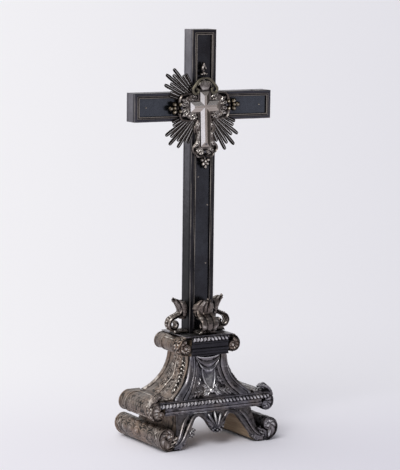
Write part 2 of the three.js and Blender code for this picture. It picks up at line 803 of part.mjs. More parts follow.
// S-scroll bracket in the plane of its reach; u is outwards from the cross and z is up from its foot
function bracketLine(reach) {
  const half = bracketBandThickness / 2;
  const eye = [reach - half - 0.8 * bracketScrollRadius, half + 0.9 * bracketScrollRadius + 1];
  const turn = -1.7 * Math.PI;
  const spiral = spiralPoints(eye, bracketScrollRadius, 0.45 * Math.PI, turn, bracketScrollDecay, 11);
  const lead = pathThrough([
    [0.4 * reach, 0.84 * bracketHeight],
    [0.27 * reach, 0.68 * bracketHeight],
    [0.36 * reach, 0.54 * bracketHeight],
    spiral[0],
  ]);
  return [...lead.getPoints(6).map((p) => [p.x, p.y]), ...spiral.slice(1)];
}

function bracket(reach, leafWidth, bandWidth) {
  const line = bracketLine(reach);
  const halfWidth = bandWidth / 2;
  const ridgeHalf = 0.2 * halfWidth;
  const band = prismY(bandOutline(line, bracketBandThickness), -halfWidth, halfWidth);
  const ridge = prismY(bandOutline(line.slice(3, 12), bracketBandThickness + 1.2), -ridgeHalf, ridgeHalf);
  const leaf = leafShell(6, 3, (s, t) => {
    const tip = t > 0.8 ? 1 - (t - 0.8) * 2.2 : 1;
    const swell = 0.5 + 0.5 * Math.sin(Math.PI * (0.1 + 0.6 * t));
    const flare = (0.33 + 0.34 * t ** 3) * reach;
    const cup = (flare - 0.08 * reach) * Math.abs(s) ** 2.4;
    const flute = 0.55 * Math.cos(3 * Math.PI * s);
    const scallop = 1 + 0.07 * Math.cos(3 * Math.PI * s) * t;
    const rise = 0.44 + 0.55 * t * scallop;
    return new THREE.Vector3(flare - cup + flute, (leafWidth / 2) * swell * tip * s, rise * bracketHeight);
  }, 2);
  const foot = box(0, 0.72 * reach, -halfWidth, halfWidth, 0, bracketFootHeight);
  const clear = box(clearance, 2 * reach, -leafWidth, leafWidth, 0, 2 * bracketHeight);
  return keep(join(band, ridge, leaf, foot), clear);
}

function placeBracket(mesh, turn, distance) {
  mesh.rotation.z = turn;
  mesh.position.set(Math.cos(turn) * distance, Math.sin(turn) * distance, crossFoot);
  return mesh;
}

// Reliquary, drawn round the crossing with y = 0 on the front of the cross
const reliquaryPlace = new THREE.Matrix4()
  .makeTranslation(reliquaryShift, frontFace, armCentre)
  .multiply(new THREE.Matrix4().makeRotationY(THREE.MathUtils.degToRad(-reliquaryTilt)));

const flatRelief = (base) => (x, z, h) => new THREE.Vector3(x, -base - h, z);
const rayBack = clearance;
const frameBack = rayBack + rayPlate + rayRidge + clearance;

function rayGroup(fan) {
  const face = flatRelief(rayBack);
  const pieces = [];
  const span = THREE.MathUtils.degToRad(fan.spread);
  const centre = THREE.MathUtils.degToRad(fan.middle);
  for (let i = 0; i < rayCount; i += 1) {
    const share = i / (rayCount - 1) - 0.5;
    const angle = centre + span * share;
    const step = i % 2 ? 0.9 : 1;
    const length = (rayLength - (rayLength - rayShortest) * (2 * share) ** 2) * step;
    const ray = new THREE.LineCurve(
      new THREE.Vector2(rayRoot * Math.cos(angle), rayRoot * Math.sin(angle)),
      new THREE.Vector2(length * Math.cos(angle), length * Math.sin(angle)),
    );
    const half = (0.46 * span) / (rayCount - 1);
    pieces.push(ribOver(face, ray, [0, 0.84, 1], (t) => {
      const w = t === 1 ? 0.5 : Math.min(rayHalfWidth, half * (rayRoot + (length - rayRoot) * t));
      return [[-w, 0], [w, 0], [w, rayPlate / 2], [0, rayPlate + rayRidge * t], [-w, rayPlate / 2]];
    }));
  }
  const arc = (radius, from, to) => {
    const angles = [from, (from + to) / 2, to].map((share) => centre + span * share);
    return angles.map((angle) => [radius * Math.cos(angle), radius * Math.sin(angle)]);
  };
  const web = outline([...arc(rayWeb, -0.5, 0.5), ...arc(rayRoot, 0.5, -0.5)]);
  pieces.push(prismY(web, -rayBack - rayPlate / 2, -rayBack));
  return join(...pieces);
}

function caseOutline(grow) {
  const w = caseBarWidth / 2 + grow;
  const a = caseWidth / 2 + grow;
  return [[w, -caseFoot - grow], [w, -w], [a, -w], [a, w], [w, w], [w, caseTop + grow],
    [-w, caseTop + grow], [-w, w], [-a, w], [-a, -w], [-w, -w], [-w, -caseFoot - grow]];
}

function caseTray() {
  const back = -frameBack;
  const front = back - caseTrayDepth;
  const block = prismY(outline(caseOutline(0)), front, back);
  const hollow = prismY(outline(caseOutline(-caseWall)), front - 1, back - caseWall);
  const boss = 2.4 * caseWall;
  const screwBoss = box(-boss, boss, front, back, -caseFoot, 2 * caseScrewRise - caseFoot);
  return cut(join(cut(block, hollow), screwBoss), caseScrewHole());
}

function caseScrewHole() {
  const front = -frameBack - caseTrayDepth - 2 * caseCoverDepth;
  return rodY(0, caseScrewRise - caseFoot, pinShank + clearance, front, clearance, 8);
}

// Outline of a bar with bevelled shoulders, as [along, depth] pairs
function bevelled(low, high, back, front) {
  const lip = back - 0.25 * caseCoverDepth;
  const top = [[high, lip], [high - caseBevel, front], [low + caseBevel, front], [low, lip]];
  return [[low, back], [high, back], ...top];
}

const swapped = (points) => points.map(([a, b]) => [b, a]);

function prismZ(shape, from, to) {
  return new THREE.ExtrudeGeometry(shape, { depth: to - from, bevelEnabled: false }).translate(0, 0, from);
}

// Cover with bevelled sides and ends, mitred where the bars cross
function caseCover() {
  const back = -frameBack - caseTrayDepth - clearance;
  const front = back - caseCoverDepth;
  const w = caseBarWidth / 2;
  const a = caseWidth / 2;
  const upright = prismZ(outline(bevelled(-w, w, back, front)), -caseFoot, caseTop);
  const uprightEnds = prismX(outline(swapped(bevelled(-caseFoot, caseTop, back, front))), -a, a);
  const arms = prismX(outline(swapped(bevelled(-w, w, back, front))), -a, a);
  const armEnds = prismZ(outline(bevelled(-a, a, back, front)), -caseFoot, caseTop);
  return cut(join(keep(upright, uprightEnds), keep(arms, armEnds)), caseScrewHole());
}

// Sliver of wood kept in the tray
function relicSliver() {
  const back = -frameBack - caseWall - clearance;
  const w = 0.16 * caseBarWidth;
  const a = caseWidth / 2 - 2 * caseWall;
  const top = caseTop - 2 * caseWall;
  const foot = -caseFoot + 3 * caseBarWidth / 4;
  const shape = outline([[w, foot], [w, -w], [a, -w], [a, w], [w, w], [w, top],
    [-w, top], [-w, w], [-a, w], [-a, -w], [-w, -w], [-w, foot]]);
  return prismY(shape, back - sliverThickness, back);
}

// Pins with a low round head, seated on a face
function pin(x, z, face, length, headRadius = pinHead) {
  const seat = face - clearance;
  const dome = new THREE.SphereGeometry(headRadius, 6, 4).scale(1, 0.6, 1).translate(x, seat, z);
  const front = box(x - 5, x + 5, seat - 5, seat, z - 5, z + 5);
  return join(keep(dome, front), rodY(x, z, pinShank, seat - 0.2, face + length, 6));
}

const pinHole = (x, z, from, to) => rodY(x, z, pinShank + clearance, from, to, 6);

// Frame round the case: a shaped sheet with a rim, side lobes of paired scrolls, a foot and a head rib
const pinReach = 33;
const frameReach = pinReach + 5;
const footPinDrop = 57;
const pinPlaces = [[-pinReach, 0], [pinReach, 0], [0, -footPinDrop]];
const lobeReach = 29;
const lobeRise = 7.6;
const lobeRadius = 8;

function scrollPath(side, rise, lead, eye, radius, startAngle, turn, decay) {
  const spiral = spiralPoints(eye, radius, startAngle, turn, decay, 12);
  return pathThrough([...lead, ...spiral].map(([x, z]) => [side * x, rise * z]));
}

function frameScroll(face, path, steps, width = 2.8) {
  return ribOver(face, path, steps, (t) => {
    const w = (width / 2) * (1 - 0.3 * t);
    const h = scrollRelief * (1 - 0.25 * t);
    return [[-w, 0], [w, 0], [0.3 * w, h], [-0.3 * w, h]];
  });
}

function frameSheetOutline() {
  const edge = caseBarWidth / 2 + frameRim;
  const lobe = [[edge + 6, 17.5], [frameReach - 9, 16.5], [frameReach - 2, 12], [frameReach, 4]];
  const under = lobe.map(([x, z]) => [x, -z]).reverse();
  const skirt = [[edge + 3, -24], [edge + 2, -37], [edge + 7.5, -50], [edge + 7, -57], [4, -61.5]];
  const right = [[edge - 1, 17.5], ...lobe, ...under, ...skirt];
  return outline([...right, ...right.map(([x, z]) => [-x, z]).reverse()]);
}

function cartoucheFrame() {
  const face = flatRelief(frameBack);
  const rim = outline(caseOutline(clearance + frameRim));
  rim.holes.push(new THREE.Path(caseOutline(clearance).map(([x, z]) => new THREE.Vector2(x, z))));
  const pieces = [prismY(rim, -frameBack - framePlate, -frameBack)];
  pieces.push(prismY(frameSheetOutline(), -frameBack - frameSheet, -frameBack));
  const edge = caseBarWidth / 2 + frameRim;
  for (const side of [-1, 1]) {
    for (const rise of [-1, 1]) {
      const lobe = [[edge - 1, rise > 0 ? 15 : 17], [edge + 5, 16], [edge + 12, 17]];
      const lobeEye = [lobeReach, lobeRise];
      const outer = scrollPath(side, rise, lobe, lobeEye, lobeRadius, 0.42 * Math.PI, -2.3 * Math.PI, 0.5);
      pieces.push(frameScroll(face, outer, 8));
      const inner = scrollPath(side, rise, [], [edge + 7, edge + 2.6], 4, -Math.PI / 2, 2.2 * Math.PI, 0.6);
      pieces.push(frameScroll(face, inner, 4, 2.2));
    }
    pieces.push(rodY(side * pinReach, 0, 2.7, -frameBack - framePlate, -frameBack, 6));
    const skirt = [[edge - 1, -16], [edge + 3.5, -24], [edge + 1, -36], [edge + 2.5, -44]];
    const foot = spiralPoints([edge + 3, -54], 6.5, Math.PI / 3, -2.1 * Math.PI, 0.55, 12);
    pieces.push(frameScroll(face, pathThrough([...skirt, ...foot].map(([x, z]) => [side * x, z])), 7));
    const hem = [[1, -61.4], [5, -63], [edge + 1, -62.5], [edge + 4, -59]];
    pieces.push(frameScroll(face, pathThrough(hem.map(([x, z]) => [side * x, z])), 2));
  }
  pieces.push(rodY(0, -footPinDrop, 2.7, -frameBack - framePlate, -frameBack, 6));
  const headRib = outline([[-2.4, caseTop + 2], [2.4, caseTop + 2], [1.8, 37], [-1.8, 37]]);
  pieces.push(prismY(headRib, -frameBack - framePlate, -frameBack));
  const holes = pinPlaces.map(([x, z]) => pinHole(x, z, -hoodBack, 1));
  const caseSpace = prismY(outline(caseOutline(clearance)), -2 * hoodBack, 1);
  return cut(join(...pieces), caseSpace, ...holes);
}

// Hood over the case: two arched scrolls that meet under the finial, with a fluted shell between them
const hoodBack = frameBack + scrollRelief + clearance;

function cartoucheHood() {
  const face = flatRelief(hoodBack);
  const pieces = [];
  for (const side of [-1, 1]) {
    const arch = [[0, 35.6], [6, 34.4], [12, 29.5]];
    const curl = spiralPoints([12.4, 20.4], 5.4, Math.PI / 6, -1.8 * Math.PI, 0.6, 12);
    pieces.push(frameScroll(face, pathThrough([...arch, ...curl].map(([x, z]) => [side * x, z])), 10, 3.6));
  }
  for (let i = -2; i <= 2; i += 1) {
    const flute = pathThrough([[1.2 * i, 20.6], [2.6 * i, 25.6], [4 * i, 33.4 - 0.9 * Math.abs(i)]]);
    pieces.push(ribOver(face, flute, 2, ridgeSection(4, 1.8, 0, 0.6)));
  }
  pieces.push(blob(0, -hoodBack - 1.1, 33.6, 3.4, 1.1, 2.6));
  return join(...pieces);
}

// Bud on a knob at the head of the frame
function finial() {
  const base = -frameBack;
  const knob = blob(0, base - 2.2, 41.7, 4.6, 2.1, 3.8, 8, 4);
  const stem = box(-1.5, 1.5, base - framePlate, base, 37.6, 50);
  const bud = blob(0, base - 2, 50.4, 3.8, 1.9, 5.2, 8, 4);
  const collars = [-3, 3].map((x) => blob(x, base - 1.4, 38.9, 1.9, 1.3, 1.2));
  return join(stem, knob, bud, ...collars);
}

function trefoil() {
  const base = -frameBack;
  const root = lobeReach + lobeRadius + scrollRelief;
  const stem = box(frameReach + clearance, root + 8, base - framePlate, base, -1.3, 1.3);
  const petals = [[root + 3.2, 4.2], [root + 3.2, -4.2], [root + 8.4, 0]];
  const tips = petals.map(([x, z]) => blob(x, base - 1.9, z, 3.9, 1.8, 3.1));
  return join(stem, ...tips, blob(root + 4, base - 2.2, 0, 3.4, 2, 3.2));
}

function pendantFlower() {
  const base = -frameBack;
  const stem = box(-1.3, 1.3, base - framePlate, base, -74, -62 - 4 * clearance);
  const petals = [[-4.4, -67.3], [4.4, -67.3], [-3, -72], [3, -72], [0, -75.8]];
  const tips = petals.map(([x, z]) => blob(x, base - 1.7, z, 3.2, 1.6, 3));
  return join(stem, ...tips, blob(0, base - 2.3, -68.6, 2.3, 2, 2.3));
}

// Leaf that stands over the front end of a middle roll
function midLeaf() {
  const fromAngle = 0.58 * Math.PI;
  const sweep = 0.38 * Math.PI;
  return leafShell(5, 6, (s, t) => {
    const angle = fromAngle - sweep * t;
    const beyond = Math.max(0, Math.PI / 2 - angle);
    const seat = midScrollRadius * midScrollDecay ** (beyond / Math.PI) + clearance + midLeafSheet;
    const curl = midLeafLift * Math.exp(-(((t - 0.24) / 0.26) ** 2)) * (1 - 0.5 * Math.abs(s));
    const r = seat + curl + 0.5 * Math.cos(2 * Math.PI * s) ** 2;
    const half = (midLeafWidth / 2) * (0.55 + 0.45 * Math.sin(Math.PI * Math.min(1, t + 0.1)));
    const y = (midLeafWidth - midTierDepth) / 2 + half * s;
    return new THREE.Vector3(midEyeX + r * Math.cos(angle), y, midEyeZ + r * Math.sin(angle));
  }, midLeafSheet);
}

// Assembly
function part(name, finish, geometry) {
  const mesh = new THREE.Mesh(geometry, new THREE.MeshStandardMaterial(finishes[finish]));
  mesh.name = name;
  return mesh;
}

function pair(parent, name, finish, geometry) {
  parent.add(part(`${name}_right`, finish, geometry), part(`${name}_left`, finish, mirrored(geometry)));
}

const group = new THREE.Group();

const base = new THREE.Group();
pair(base, 'foot_block', 'oak', footBlock());
pair(base, 'foot_roll', 'tarnishedSilver', footRoll());
base.add(placeValance(part('front_valance', 'tarnishedSilver', frontValance())));
base.add(part('base_board', 'oak', baseBoard()));
pair(base, 'mid_roll', 'tarnishedSilver', midRoll());
const midStripTop = boardTop - 2 - gadroonHeight;
const midLobeZ = midStripTop + clearance + gadroonHeight / 2;
base.add(part('mid_front_moulding', 'tarnishedSilver',
  mouldedStrip(boardHalfWidth, -boardHalfDepth - clearance, footTierHeight + clearance, midStripTop)));
base.add(part('mid_gadroon_band', 'tarnishedSilver',
  gadroonBand(midBandHalfLength, midBandHalfLength, -midTierDepth / 2 - clearance, midLobeZ, boardTop)));
pair(base, 'mid_leaf', 'tarnishedSilver', midLeaf());
base.add(part('body_core', 'oak', bodyCore()));
base.add(part('body_front_panel', 'tarnishedSilver', bodyFrontPanel()));
base.add(part('body_back_panel', 'greySilver', bodyBackPanel()));
pair(base, 'body_side_panel', 'brownSilver', bodySidePanel());
pair(base, 'side_garland', 'tarnishedSilver', sideGarland());
base.add(part('cap_core', 'oak', capCore()));
pair(base, 'cap_roll', 'brownSilver', capRoll());
const capStripTop = capTop - gadroonHeight;
const capLobeZ = capStripTop + clearance + gadroonHeight / 2;
base.add(part('cap_front_moulding', 'tarnishedSilver',
  mouldedStrip(capHalfWidth, -capHalfDepth - clearance, bodyTop + clearance, capStripTop)));
base.add(part('cap_gadroon_band', 'tarnishedSilver',
  gadroonBand(capBandHalfLength, capHalfWidth, -capHalfDepth - clearance, capLobeZ, capTop + clearance)));
base.add(part('cap_plate', 'tarnishedSilver', capPlate()));
base.add(part('tenon_peg', 'oak', tenonPeg()));
group.add(base);

const brackets = new THREE.Group();
const side = bracket(sideBracketReach, sideLeafWidth, sideBandWidth);
const front = bracket(frontBracketReach, frontLeafWidth, frontBandWidth);
brackets.add(placeBracket(part('bracket_right', 'brownSilver', side), 0, crossWidth / 2));
brackets.add(placeBracket(part('bracket_left', 'brownSilver', side.clone()), Math.PI, crossWidth / 2));
brackets.add(placeBracket(part('bracket_front', 'brownSilver', front), -Math.PI / 2, crossDepth / 2));
group.add(brackets);

const nailPlaces = [[-6.5, 336], [7.5, 300], [6, 226], [-82, armCentre], [82, armCentre]];
const screwPlace = [0, caseScrewRise - caseFoot];
const onCross = ([x, z]) => new THREE.Vector3(x, 0, z).applyMatrix4(reliquaryPlace);
const bored = [...pinPlaces, screwPlace].map(onCross);
const holeAt = (from, to) => [
  ...nailPlaces.map(([x, z]) => pinHole(x, z, from, to)),
  ...bored.map((p) => pinHole(p.x, p.z, from, to)),
];
const deep = frontFace + pinLength;
const upright = holeAt(frontFace - 1, deep);

const cross = new THREE.Group();
cross.add(part('cross_upright', 'oak', crossUpright(upright)));
cross.add(part('cross_arm', 'oak', crossArm(upright)));
cross.add(part('cross_side_band', 'greySilver', crossSideBand()));
cross.add(part('cross_panel', 'blackSilver', crossPanel(upright)));
cross.add(part('cross_border', 'blackSilver', crossBorder()));
cross.add(part('cross_back_plate', 'greySilver', crossBackPlate()));
nailPlaces.forEach(([x, z], i) => {
  cross.add(part(`panel_nail_${i + 1}`, 'greySilver', pin(x, z, panelFace + clearance, 7, 1.1)));
});
group.add(cross);

const reliquary = new THREE.Group();
reliquary.applyMatrix4(reliquaryPlace);
reliquary.add(part('rays_upper_left', 'blackSilver', rayGroup(upperLeftFan)));
reliquary.add(part('rays_lower_left', 'blackSilver', rayGroup(lowerLeftFan)));
reliquary.add(part('rays_lower_right', 'blackSilver', rayGroup(lowerRightFan)));
reliquary.add(part('cartouche_frame', 'tarnishedSilver', cartoucheFrame()));
reliquary.add(part('cartouche_hood', 'giltPatina', cartoucheHood()));
reliquary.add(part('finial', 'tarnishedSilver', finial()));
pair(reliquary, 'trefoil', 'giltPatina', trefoil());
reliquary.add(part('pendant_flower', 'tarnishedSilver', pendantFlower()));
reliquary.add(part('case_tray', 'brightSilver', caseTray()));
reliquary.add(part('relic_sliver', 'oak', relicSliver()));
reliquary.add(part('case_cover', 'brightSilver', caseCover()));
const coverFace = -frameBack - caseTrayDepth - clearance - caseCoverDepth;
reliquary.add(part('case_screw', 'greySilver', pin(...screwPlace, coverFace, pinLength + 1.5, 1.5)));
pinPlaces.forEach(([x, z], i) => {
  reliquary.add(part(`frame_pin_${i + 1}`, 'greySilver', pin(x, z, -frameBack - framePlate, pinLength - 2)));
});
group.add(reliquary);

export default group;
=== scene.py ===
import functools
import json
import math
import bpy
import numpy as np
from mathutils import Matrix, Vector


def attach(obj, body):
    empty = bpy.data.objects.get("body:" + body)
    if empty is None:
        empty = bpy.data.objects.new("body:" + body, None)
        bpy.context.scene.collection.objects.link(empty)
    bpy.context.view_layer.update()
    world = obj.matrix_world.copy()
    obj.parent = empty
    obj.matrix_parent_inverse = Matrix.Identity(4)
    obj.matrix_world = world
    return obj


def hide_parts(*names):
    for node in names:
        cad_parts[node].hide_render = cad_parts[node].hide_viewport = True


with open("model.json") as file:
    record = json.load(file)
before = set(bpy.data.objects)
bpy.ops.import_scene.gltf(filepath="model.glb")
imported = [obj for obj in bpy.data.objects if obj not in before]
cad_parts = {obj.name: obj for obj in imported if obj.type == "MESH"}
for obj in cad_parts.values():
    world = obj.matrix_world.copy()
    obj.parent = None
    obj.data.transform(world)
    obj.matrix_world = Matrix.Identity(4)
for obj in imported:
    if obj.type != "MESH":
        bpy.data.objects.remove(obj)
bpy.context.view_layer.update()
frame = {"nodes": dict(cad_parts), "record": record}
record = frame["record"]
print("frame loaded:", len(frame["nodes"]), "nodes")

# camera: stands left of the front and a little above, with a long lens
cameraSetup = {
    "turn": 30.715,         # degrees left of the front
    "rise": 7.645,          # degrees above the horizon
    "roll": 0.696,
    "distance": 2.8163,
    "aimAside": 0.00227,
    "aimHeight": 0.26076,
    "lens": 170.73,
    "sensor": 36,
    "farthest": 100,
}


def makeCamera(setup):
    turn, rise, roll = (math.radians(setup[k]) for k in ("turn", "rise", "roll"))
    back = Vector((-math.sin(turn) * math.cos(rise), -math.cos(turn) * math.cos(rise), math.sin(rise)))
    right = Vector((math.cos(turn), -math.sin(turn), 0))
    up = back.cross(right).normalized()
    place = right * setup["aimAside"] + Vector((0, 0, setup["aimHeight"])) + back * setup["distance"]
    side = right * math.cos(roll) + up * math.sin(roll)
    top = up * math.cos(roll) - right * math.sin(roll)
    data = bpy.data.cameras.new("camera")
    data.lens = setup["lens"]
    data.sensor_width = setup["sensor"]
    data.clip_end = setup["farthest"]
    camera = bpy.data.objects.new("camera", data)
    bpy.context.collection.objects.link(camera)
    camera.matrix_world = Matrix.Translation(place) @ Matrix((side, top, back)).transposed().to_4x4()
    bpy.context.scene.camera = camera


makeCamera(cameraSetup)
bpy.context.scene.view_settings.view_transform = "Standard"


# materials
def linear(code):
    # sRGB hex to linear colour
    channels = [int(code[i:i + 2], 16) / 255 for i in (1, 3, 5)]
    return tuple(c / 12.92 if c <= 0.04045 else ((c + 0.055) / 1.055) ** 2.4 for c in channels) + (1,)


def addNode(tree, kind, values=None, links=None, **settings):
    node = tree.nodes.new("ShaderNode" + kind)
    for name, value in settings.items():
        setattr(node, name, value)
    for socket, value in (values or {}).items():
        node.inputs[socket].default_value = value
    for socket, source in (links or {}).items():
        tree.links.new(source, node.inputs[socket])
    return node


def perMetre(millimetres):
    # noise scale that gives spots of this size on coordinates in metres
    return 1000 / millimetres


def noiseNode(tree, place, size, detail, roughness=0.5, distortion=0.0):
    values = {"Scale": perMetre(size), "Detail": detail, "Roughness": roughness, "Distortion": distortion}
    return addNode(tree, "TexNoise", values, {"Vector": place}).outputs["Fac"]


def mapNode(tree, value, low, high, toLow=0.0, toHigh=1.0, curve="LINEAR"):
    values = {"From Min": low, "From Max": high, "To Min": toLow, "To Max": toHigh}
    return addNode(tree, "MapRange", values, {"Value": value}, interpolation_type=curve).outputs["Result"]


def mathNode(tree, operation, *terms):
    # each term is a number or what another node gives
    fixed = {i: term for i, term in enumerate(terms) if isinstance(term, (int, float))}
    linked = {i: term for i, term in enumerate(terms) if i not in fixed}
    return addNode(tree, "Math", fixed, linked, operation=operation).outputs[0]


def mixNode(tree, share, first, second, blend="MIX"):
    # share 0 gives the first colour and 1 the second; a colour is a hex code or what another node gives
    colours = {6: first, 7: second}
    fixed = {i: linear(colour) for i, colour in colours.items() if isinstance(colour, str)}
    linked = {i: colour for i, colour in colours.items() if i not in fixed}
    return addNode(tree, "Mix", fixed, {0: share, **linked}, data_type="RGBA", blend_type=blend).outputs[2]


def cavityNode(tree, depth):
    # 1 in the open, less in corners and hollows of about this depth
    return addNode(tree, "AmbientOcclusion", {"Distance": depth}, samples=8).outputs["AO"]


def bumpNode(tree, height, strength, depth):
    node = addNode(tree, "Bump", {"Strength": strength, "Distance": depth}, {"Height": height})
    return node.outputs["Normal"]


def newMaterial(name):
    material = bpy.data.materials.new(name)
    material.use_nodes = True
    tree = material.node_tree
    tree.nodes.clear()
    return material, tree


def closeMaterial(material, tree, shader):
    addNode(tree, "OutputMaterial", links={"Surface": shader.outputs[0]})
    return material


# sheet silver, embossed over pitch and darkened by sulphide: bright where hands rub, black in the hollows; on
# the case cover, the cross's border and side band and the rays, the relief value also carries painted light
# and shade
silverLooks = {
    "tarnishedSilver": {
        "rubbed": "#e3e2e2", "field": "#7f7d84", "hollow": "#0e0d10", "stain": "#82766c",
        "stainShare": 0.6, "cloud": 1.0, "roughness": (0.2, 0.42), "hollowDepth": 0.004, "grain": 0.1,
    },
    "brownSilver": {
        "rubbed": "#ece6df", "field": "#7d736d", "hollow": "#100d0c", "stain": "#8e7868",
        "stainShare": 0.8, "cloud": 1.1, "roughness": (0.24, 0.5), "hollowDepth": 0.004, "grain": 0.1,
    },
    "leafSilver": {
        "rubbed": "#f4eee6", "field": "#756d69", "hollow": "#0b0a09", "stain": "#73655b",
        "stainShare": 0.6, "cloud": 1.0, "roughness": (0.2, 0.42), "hollowDepth": 0.004, "grain": 0.1,
    },
    "greySilver": {
        "rubbed": "#b2aeac", "field": "#75737a", "hollow": "#1d1c1f", "stain": "#565459",
        "stainShare": 0.7, "roughness": (0.3, 0.5), "hollowDepth": 0.002, "grain": 0.08,
    },
    # on blackened and smoked silver the arm setting is a painted reflection that makes the arms paler
    "blackenedSilver": {
        "rubbed": "#a0988f", "field": "#313034", "hollow": "#0c0c0d", "stain": "#525158",
        "stainShare": 0.2, "armReflection": (0.02, 0.05), "roughness": (0.22, 0.4), "hollowDepth": 0.0012,
        "grain": 0.06,
    },
    "smokedSilver": {
        "rubbed": "#7d8690", "field": "#313033", "hollow": "#0c0c0e", "stain": "#52565d",
        "stainShare": 0.5, "armReflection": (0.02, 0.06), "roughness": (0.18, 0.36), "hollowDepth": 0.0012,
        "grain": 0.04, "blotch": 70,
    },
    "oxidisedSilver": {
        "rubbed": "#fdfaf5", "field": "#4d4742", "hollow": "#0a0908", "stain": "#544a40",
        "stainShare": 0.6, "roughness": (0.18, 0.38), "hollowDepth": 0.0012, "grain": 0.06,
    },
    "polishedSilver": {
        "rubbed": "#fbf9f6", "field": "#b9afa5", "hollow": "#3d3730", "stain": "#9a8e82",
        "stainShare": 0.5, "roughness": (0.14, 0.3), "hollowDepth": 0.0015, "grain": 0.05,
    },
    # fire gilding over silver, worn thin: the warm one keeps more gold, the worn one has turned greenish
    "warmGilding": {
        "rubbed": "#e2d8c8", "field": "#4f463a", "hollow": "#0e0b09", "stain": "#5d523f",
        "stainShare": 0.5, "roughness": (0.18, 0.4), "hollowDepth": 0.003, "grain": 0.1,
    },
    "wornGilding": {
        "rubbed": "#e0dbcc", "field": "#7b7566", "hollow": "#0e0d0b", "stain": "#5c5d4f",
        "stainShare": 0.5, "roughness": (0.2, 0.45), "hollowDepth": 0.003, "grain": 0.12,
    },
}

# what all the silver shares: sizes in millimetres, and where on the relief each colour begins and ends
tarnish = {
    "blotch": 34, "speck": 2.6, "scratch": 7, "cloudSize": 10, "cloud": 0.1, "speckShare": 0.2,
    "openness": (0.15, 0.95), "plainRelief": 0.55, "stains": (0.42, 0.66), "hollows": (0.13, 0.5),
    "ridges": (0.56, 0.95), "armReflectionShare": 0.85, "scratches": (0.3, 0.7), "metal": 0.94, "grainDepth": 0.0006,
}


@functools.cache
def silver(name, carved=False):
    # made once for each look; a carved one reads the mesh's relief value, 0 in hollows to 1 on ridges
    look = silverLooks[name]
    material, tree = newMaterial(name + ("Carved" if carved else ""))
    place = addNode(tree, "TexCoord").outputs["Object"]
    blotch = noiseNode(tree, place, look.get("blotch", tarnish["blotch"]), 5, 0.62)
    speck = noiseNode(tree, place, tarnish["speck"], 4, 0.7)
    scratch = noiseNode(tree, place, tarnish["scratch"], 8, 0.75)
    if carved:
        relief = addNode(tree, "Attribute", attribute_name="relief").outputs["Fac"]
    else:
        relief = mapNode(tree, cavityNode(tree, look["hollowDepth"]), *tarnish["openness"], 0.0,
                         tarnish["plainRelief"])
    cloudShare = look.get("cloud", tarnish["cloud"])
    cloud = noiseNode(tree, place, tarnish["cloudSize"], 3, 0.6, 0.7)
    clouded = mathNode(tree, "MULTIPLY_ADD", cloud, cloudShare, relief)
    mottled = mathNode(tree, "MULTIPLY_ADD", speck, tarnish["speckShare"], clouded)
    shifted = mathNode(tree, "SUBTRACT", mottled, 0.5 * (tarnish["speckShare"] + cloudShare))
    stainAndReflection = mapNode(tree, blotch, *tarnish["stains"], 0.0, look["stainShare"])
    if "armReflection" in look:
        # painted reflection: the arms are paler than the upright in the photo, mixed in with the stain
        across = addNode(tree, "SeparateXYZ", links={0: place}).outputs["X"]
        aside = mathNode(tree, "ABSOLUTE", across)
        paler = mapNode(tree, aside, *look["armReflection"], 0.0, tarnish["armReflectionShare"])
        stainAndReflection = mathNode(tree, "MAXIMUM", stainAndReflection, paler)
    field = mixNode(tree, stainAndReflection, look["field"], look["stain"])
    low = mapNode(tree, shifted, *tarnish["hollows"], curve="SMOOTHSTEP")
    high = mapNode(tree, shifted, *tarnish["ridges"], curve="SMOOTHSTEP")
    dark = mixNode(tree, low, look["hollow"], field)
    colour = mixNode(tree, high, dark, look["rubbed"])
    gloss = mapNode(tree, scratch, *tarnish["scratches"], *look["roughness"])
    bump = bumpNode(tree, scratch, look["grain"], tarnish["grainDepth"])
    shader = addNode(tree, "BsdfPrincipled", {"Metallic": tarnish["metal"]},
                     {"Base Color": colour, "Roughness": gloss, "Normal": bump})
    return closeMaterial(material, tree, shader)


# oak, sawn and left bare inside the foot: dry and matt, with pores along the grain, and painted shade in its
# corners
oakLook = {
    "pale": "#b29c82", "dark": "#6d5945", "poreWidth": 0.9, "poreLength": 16, "ringWidth": 26,
    "ringShare": 0.22, "roughness": 0.8, "cornerShade": "#171310", "cornerShadeDepth": 0.007, "poreDepth": 0.0005,
}


def oakMaterial(look):
    material, tree = newMaterial("agedOak")
    place = addNode(tree, "TexCoord").outputs["Object"]
    squeeze = look["poreWidth"] / look["poreLength"]
    along = addNode(tree, "Mapping", {"Scale": (1, squeeze, 1)}, {"Vector": place}).outputs[0]
    pores = noiseNode(tree, along, look["poreWidth"], 4)
    rings = addNode(tree, "TexWave", {"Scale": perMetre(look["ringWidth"]), "Distortion": 9, "Detail": 4},
                    {"Vector": along}, bands_direction="X").outputs["Fac"]
    both = mathNode(tree, "MULTIPLY_ADD", rings, look["ringShare"], pores)
    grain = mixNode(tree, mapNode(tree, both, 0.3, 1.0), look["dark"], look["pale"])
    # painted shade: the wood darkens in the corners where it shows between the sheets
    bare = mapNode(tree, cavityNode(tree, look["cornerShadeDepth"]), 0.35, 0.8)
    cornerShaded = mixNode(tree, bare, look["cornerShade"], grain)
    bump = bumpNode(tree, pores, 0.4, look["poreDepth"])
    links = {"Base Color": cornerShaded, "Normal": bump}
    shader = addNode(tree, "BsdfPrincipled", {"Roughness": look["roughness"]}, links)
    return closeMaterial(material, tree, shader)


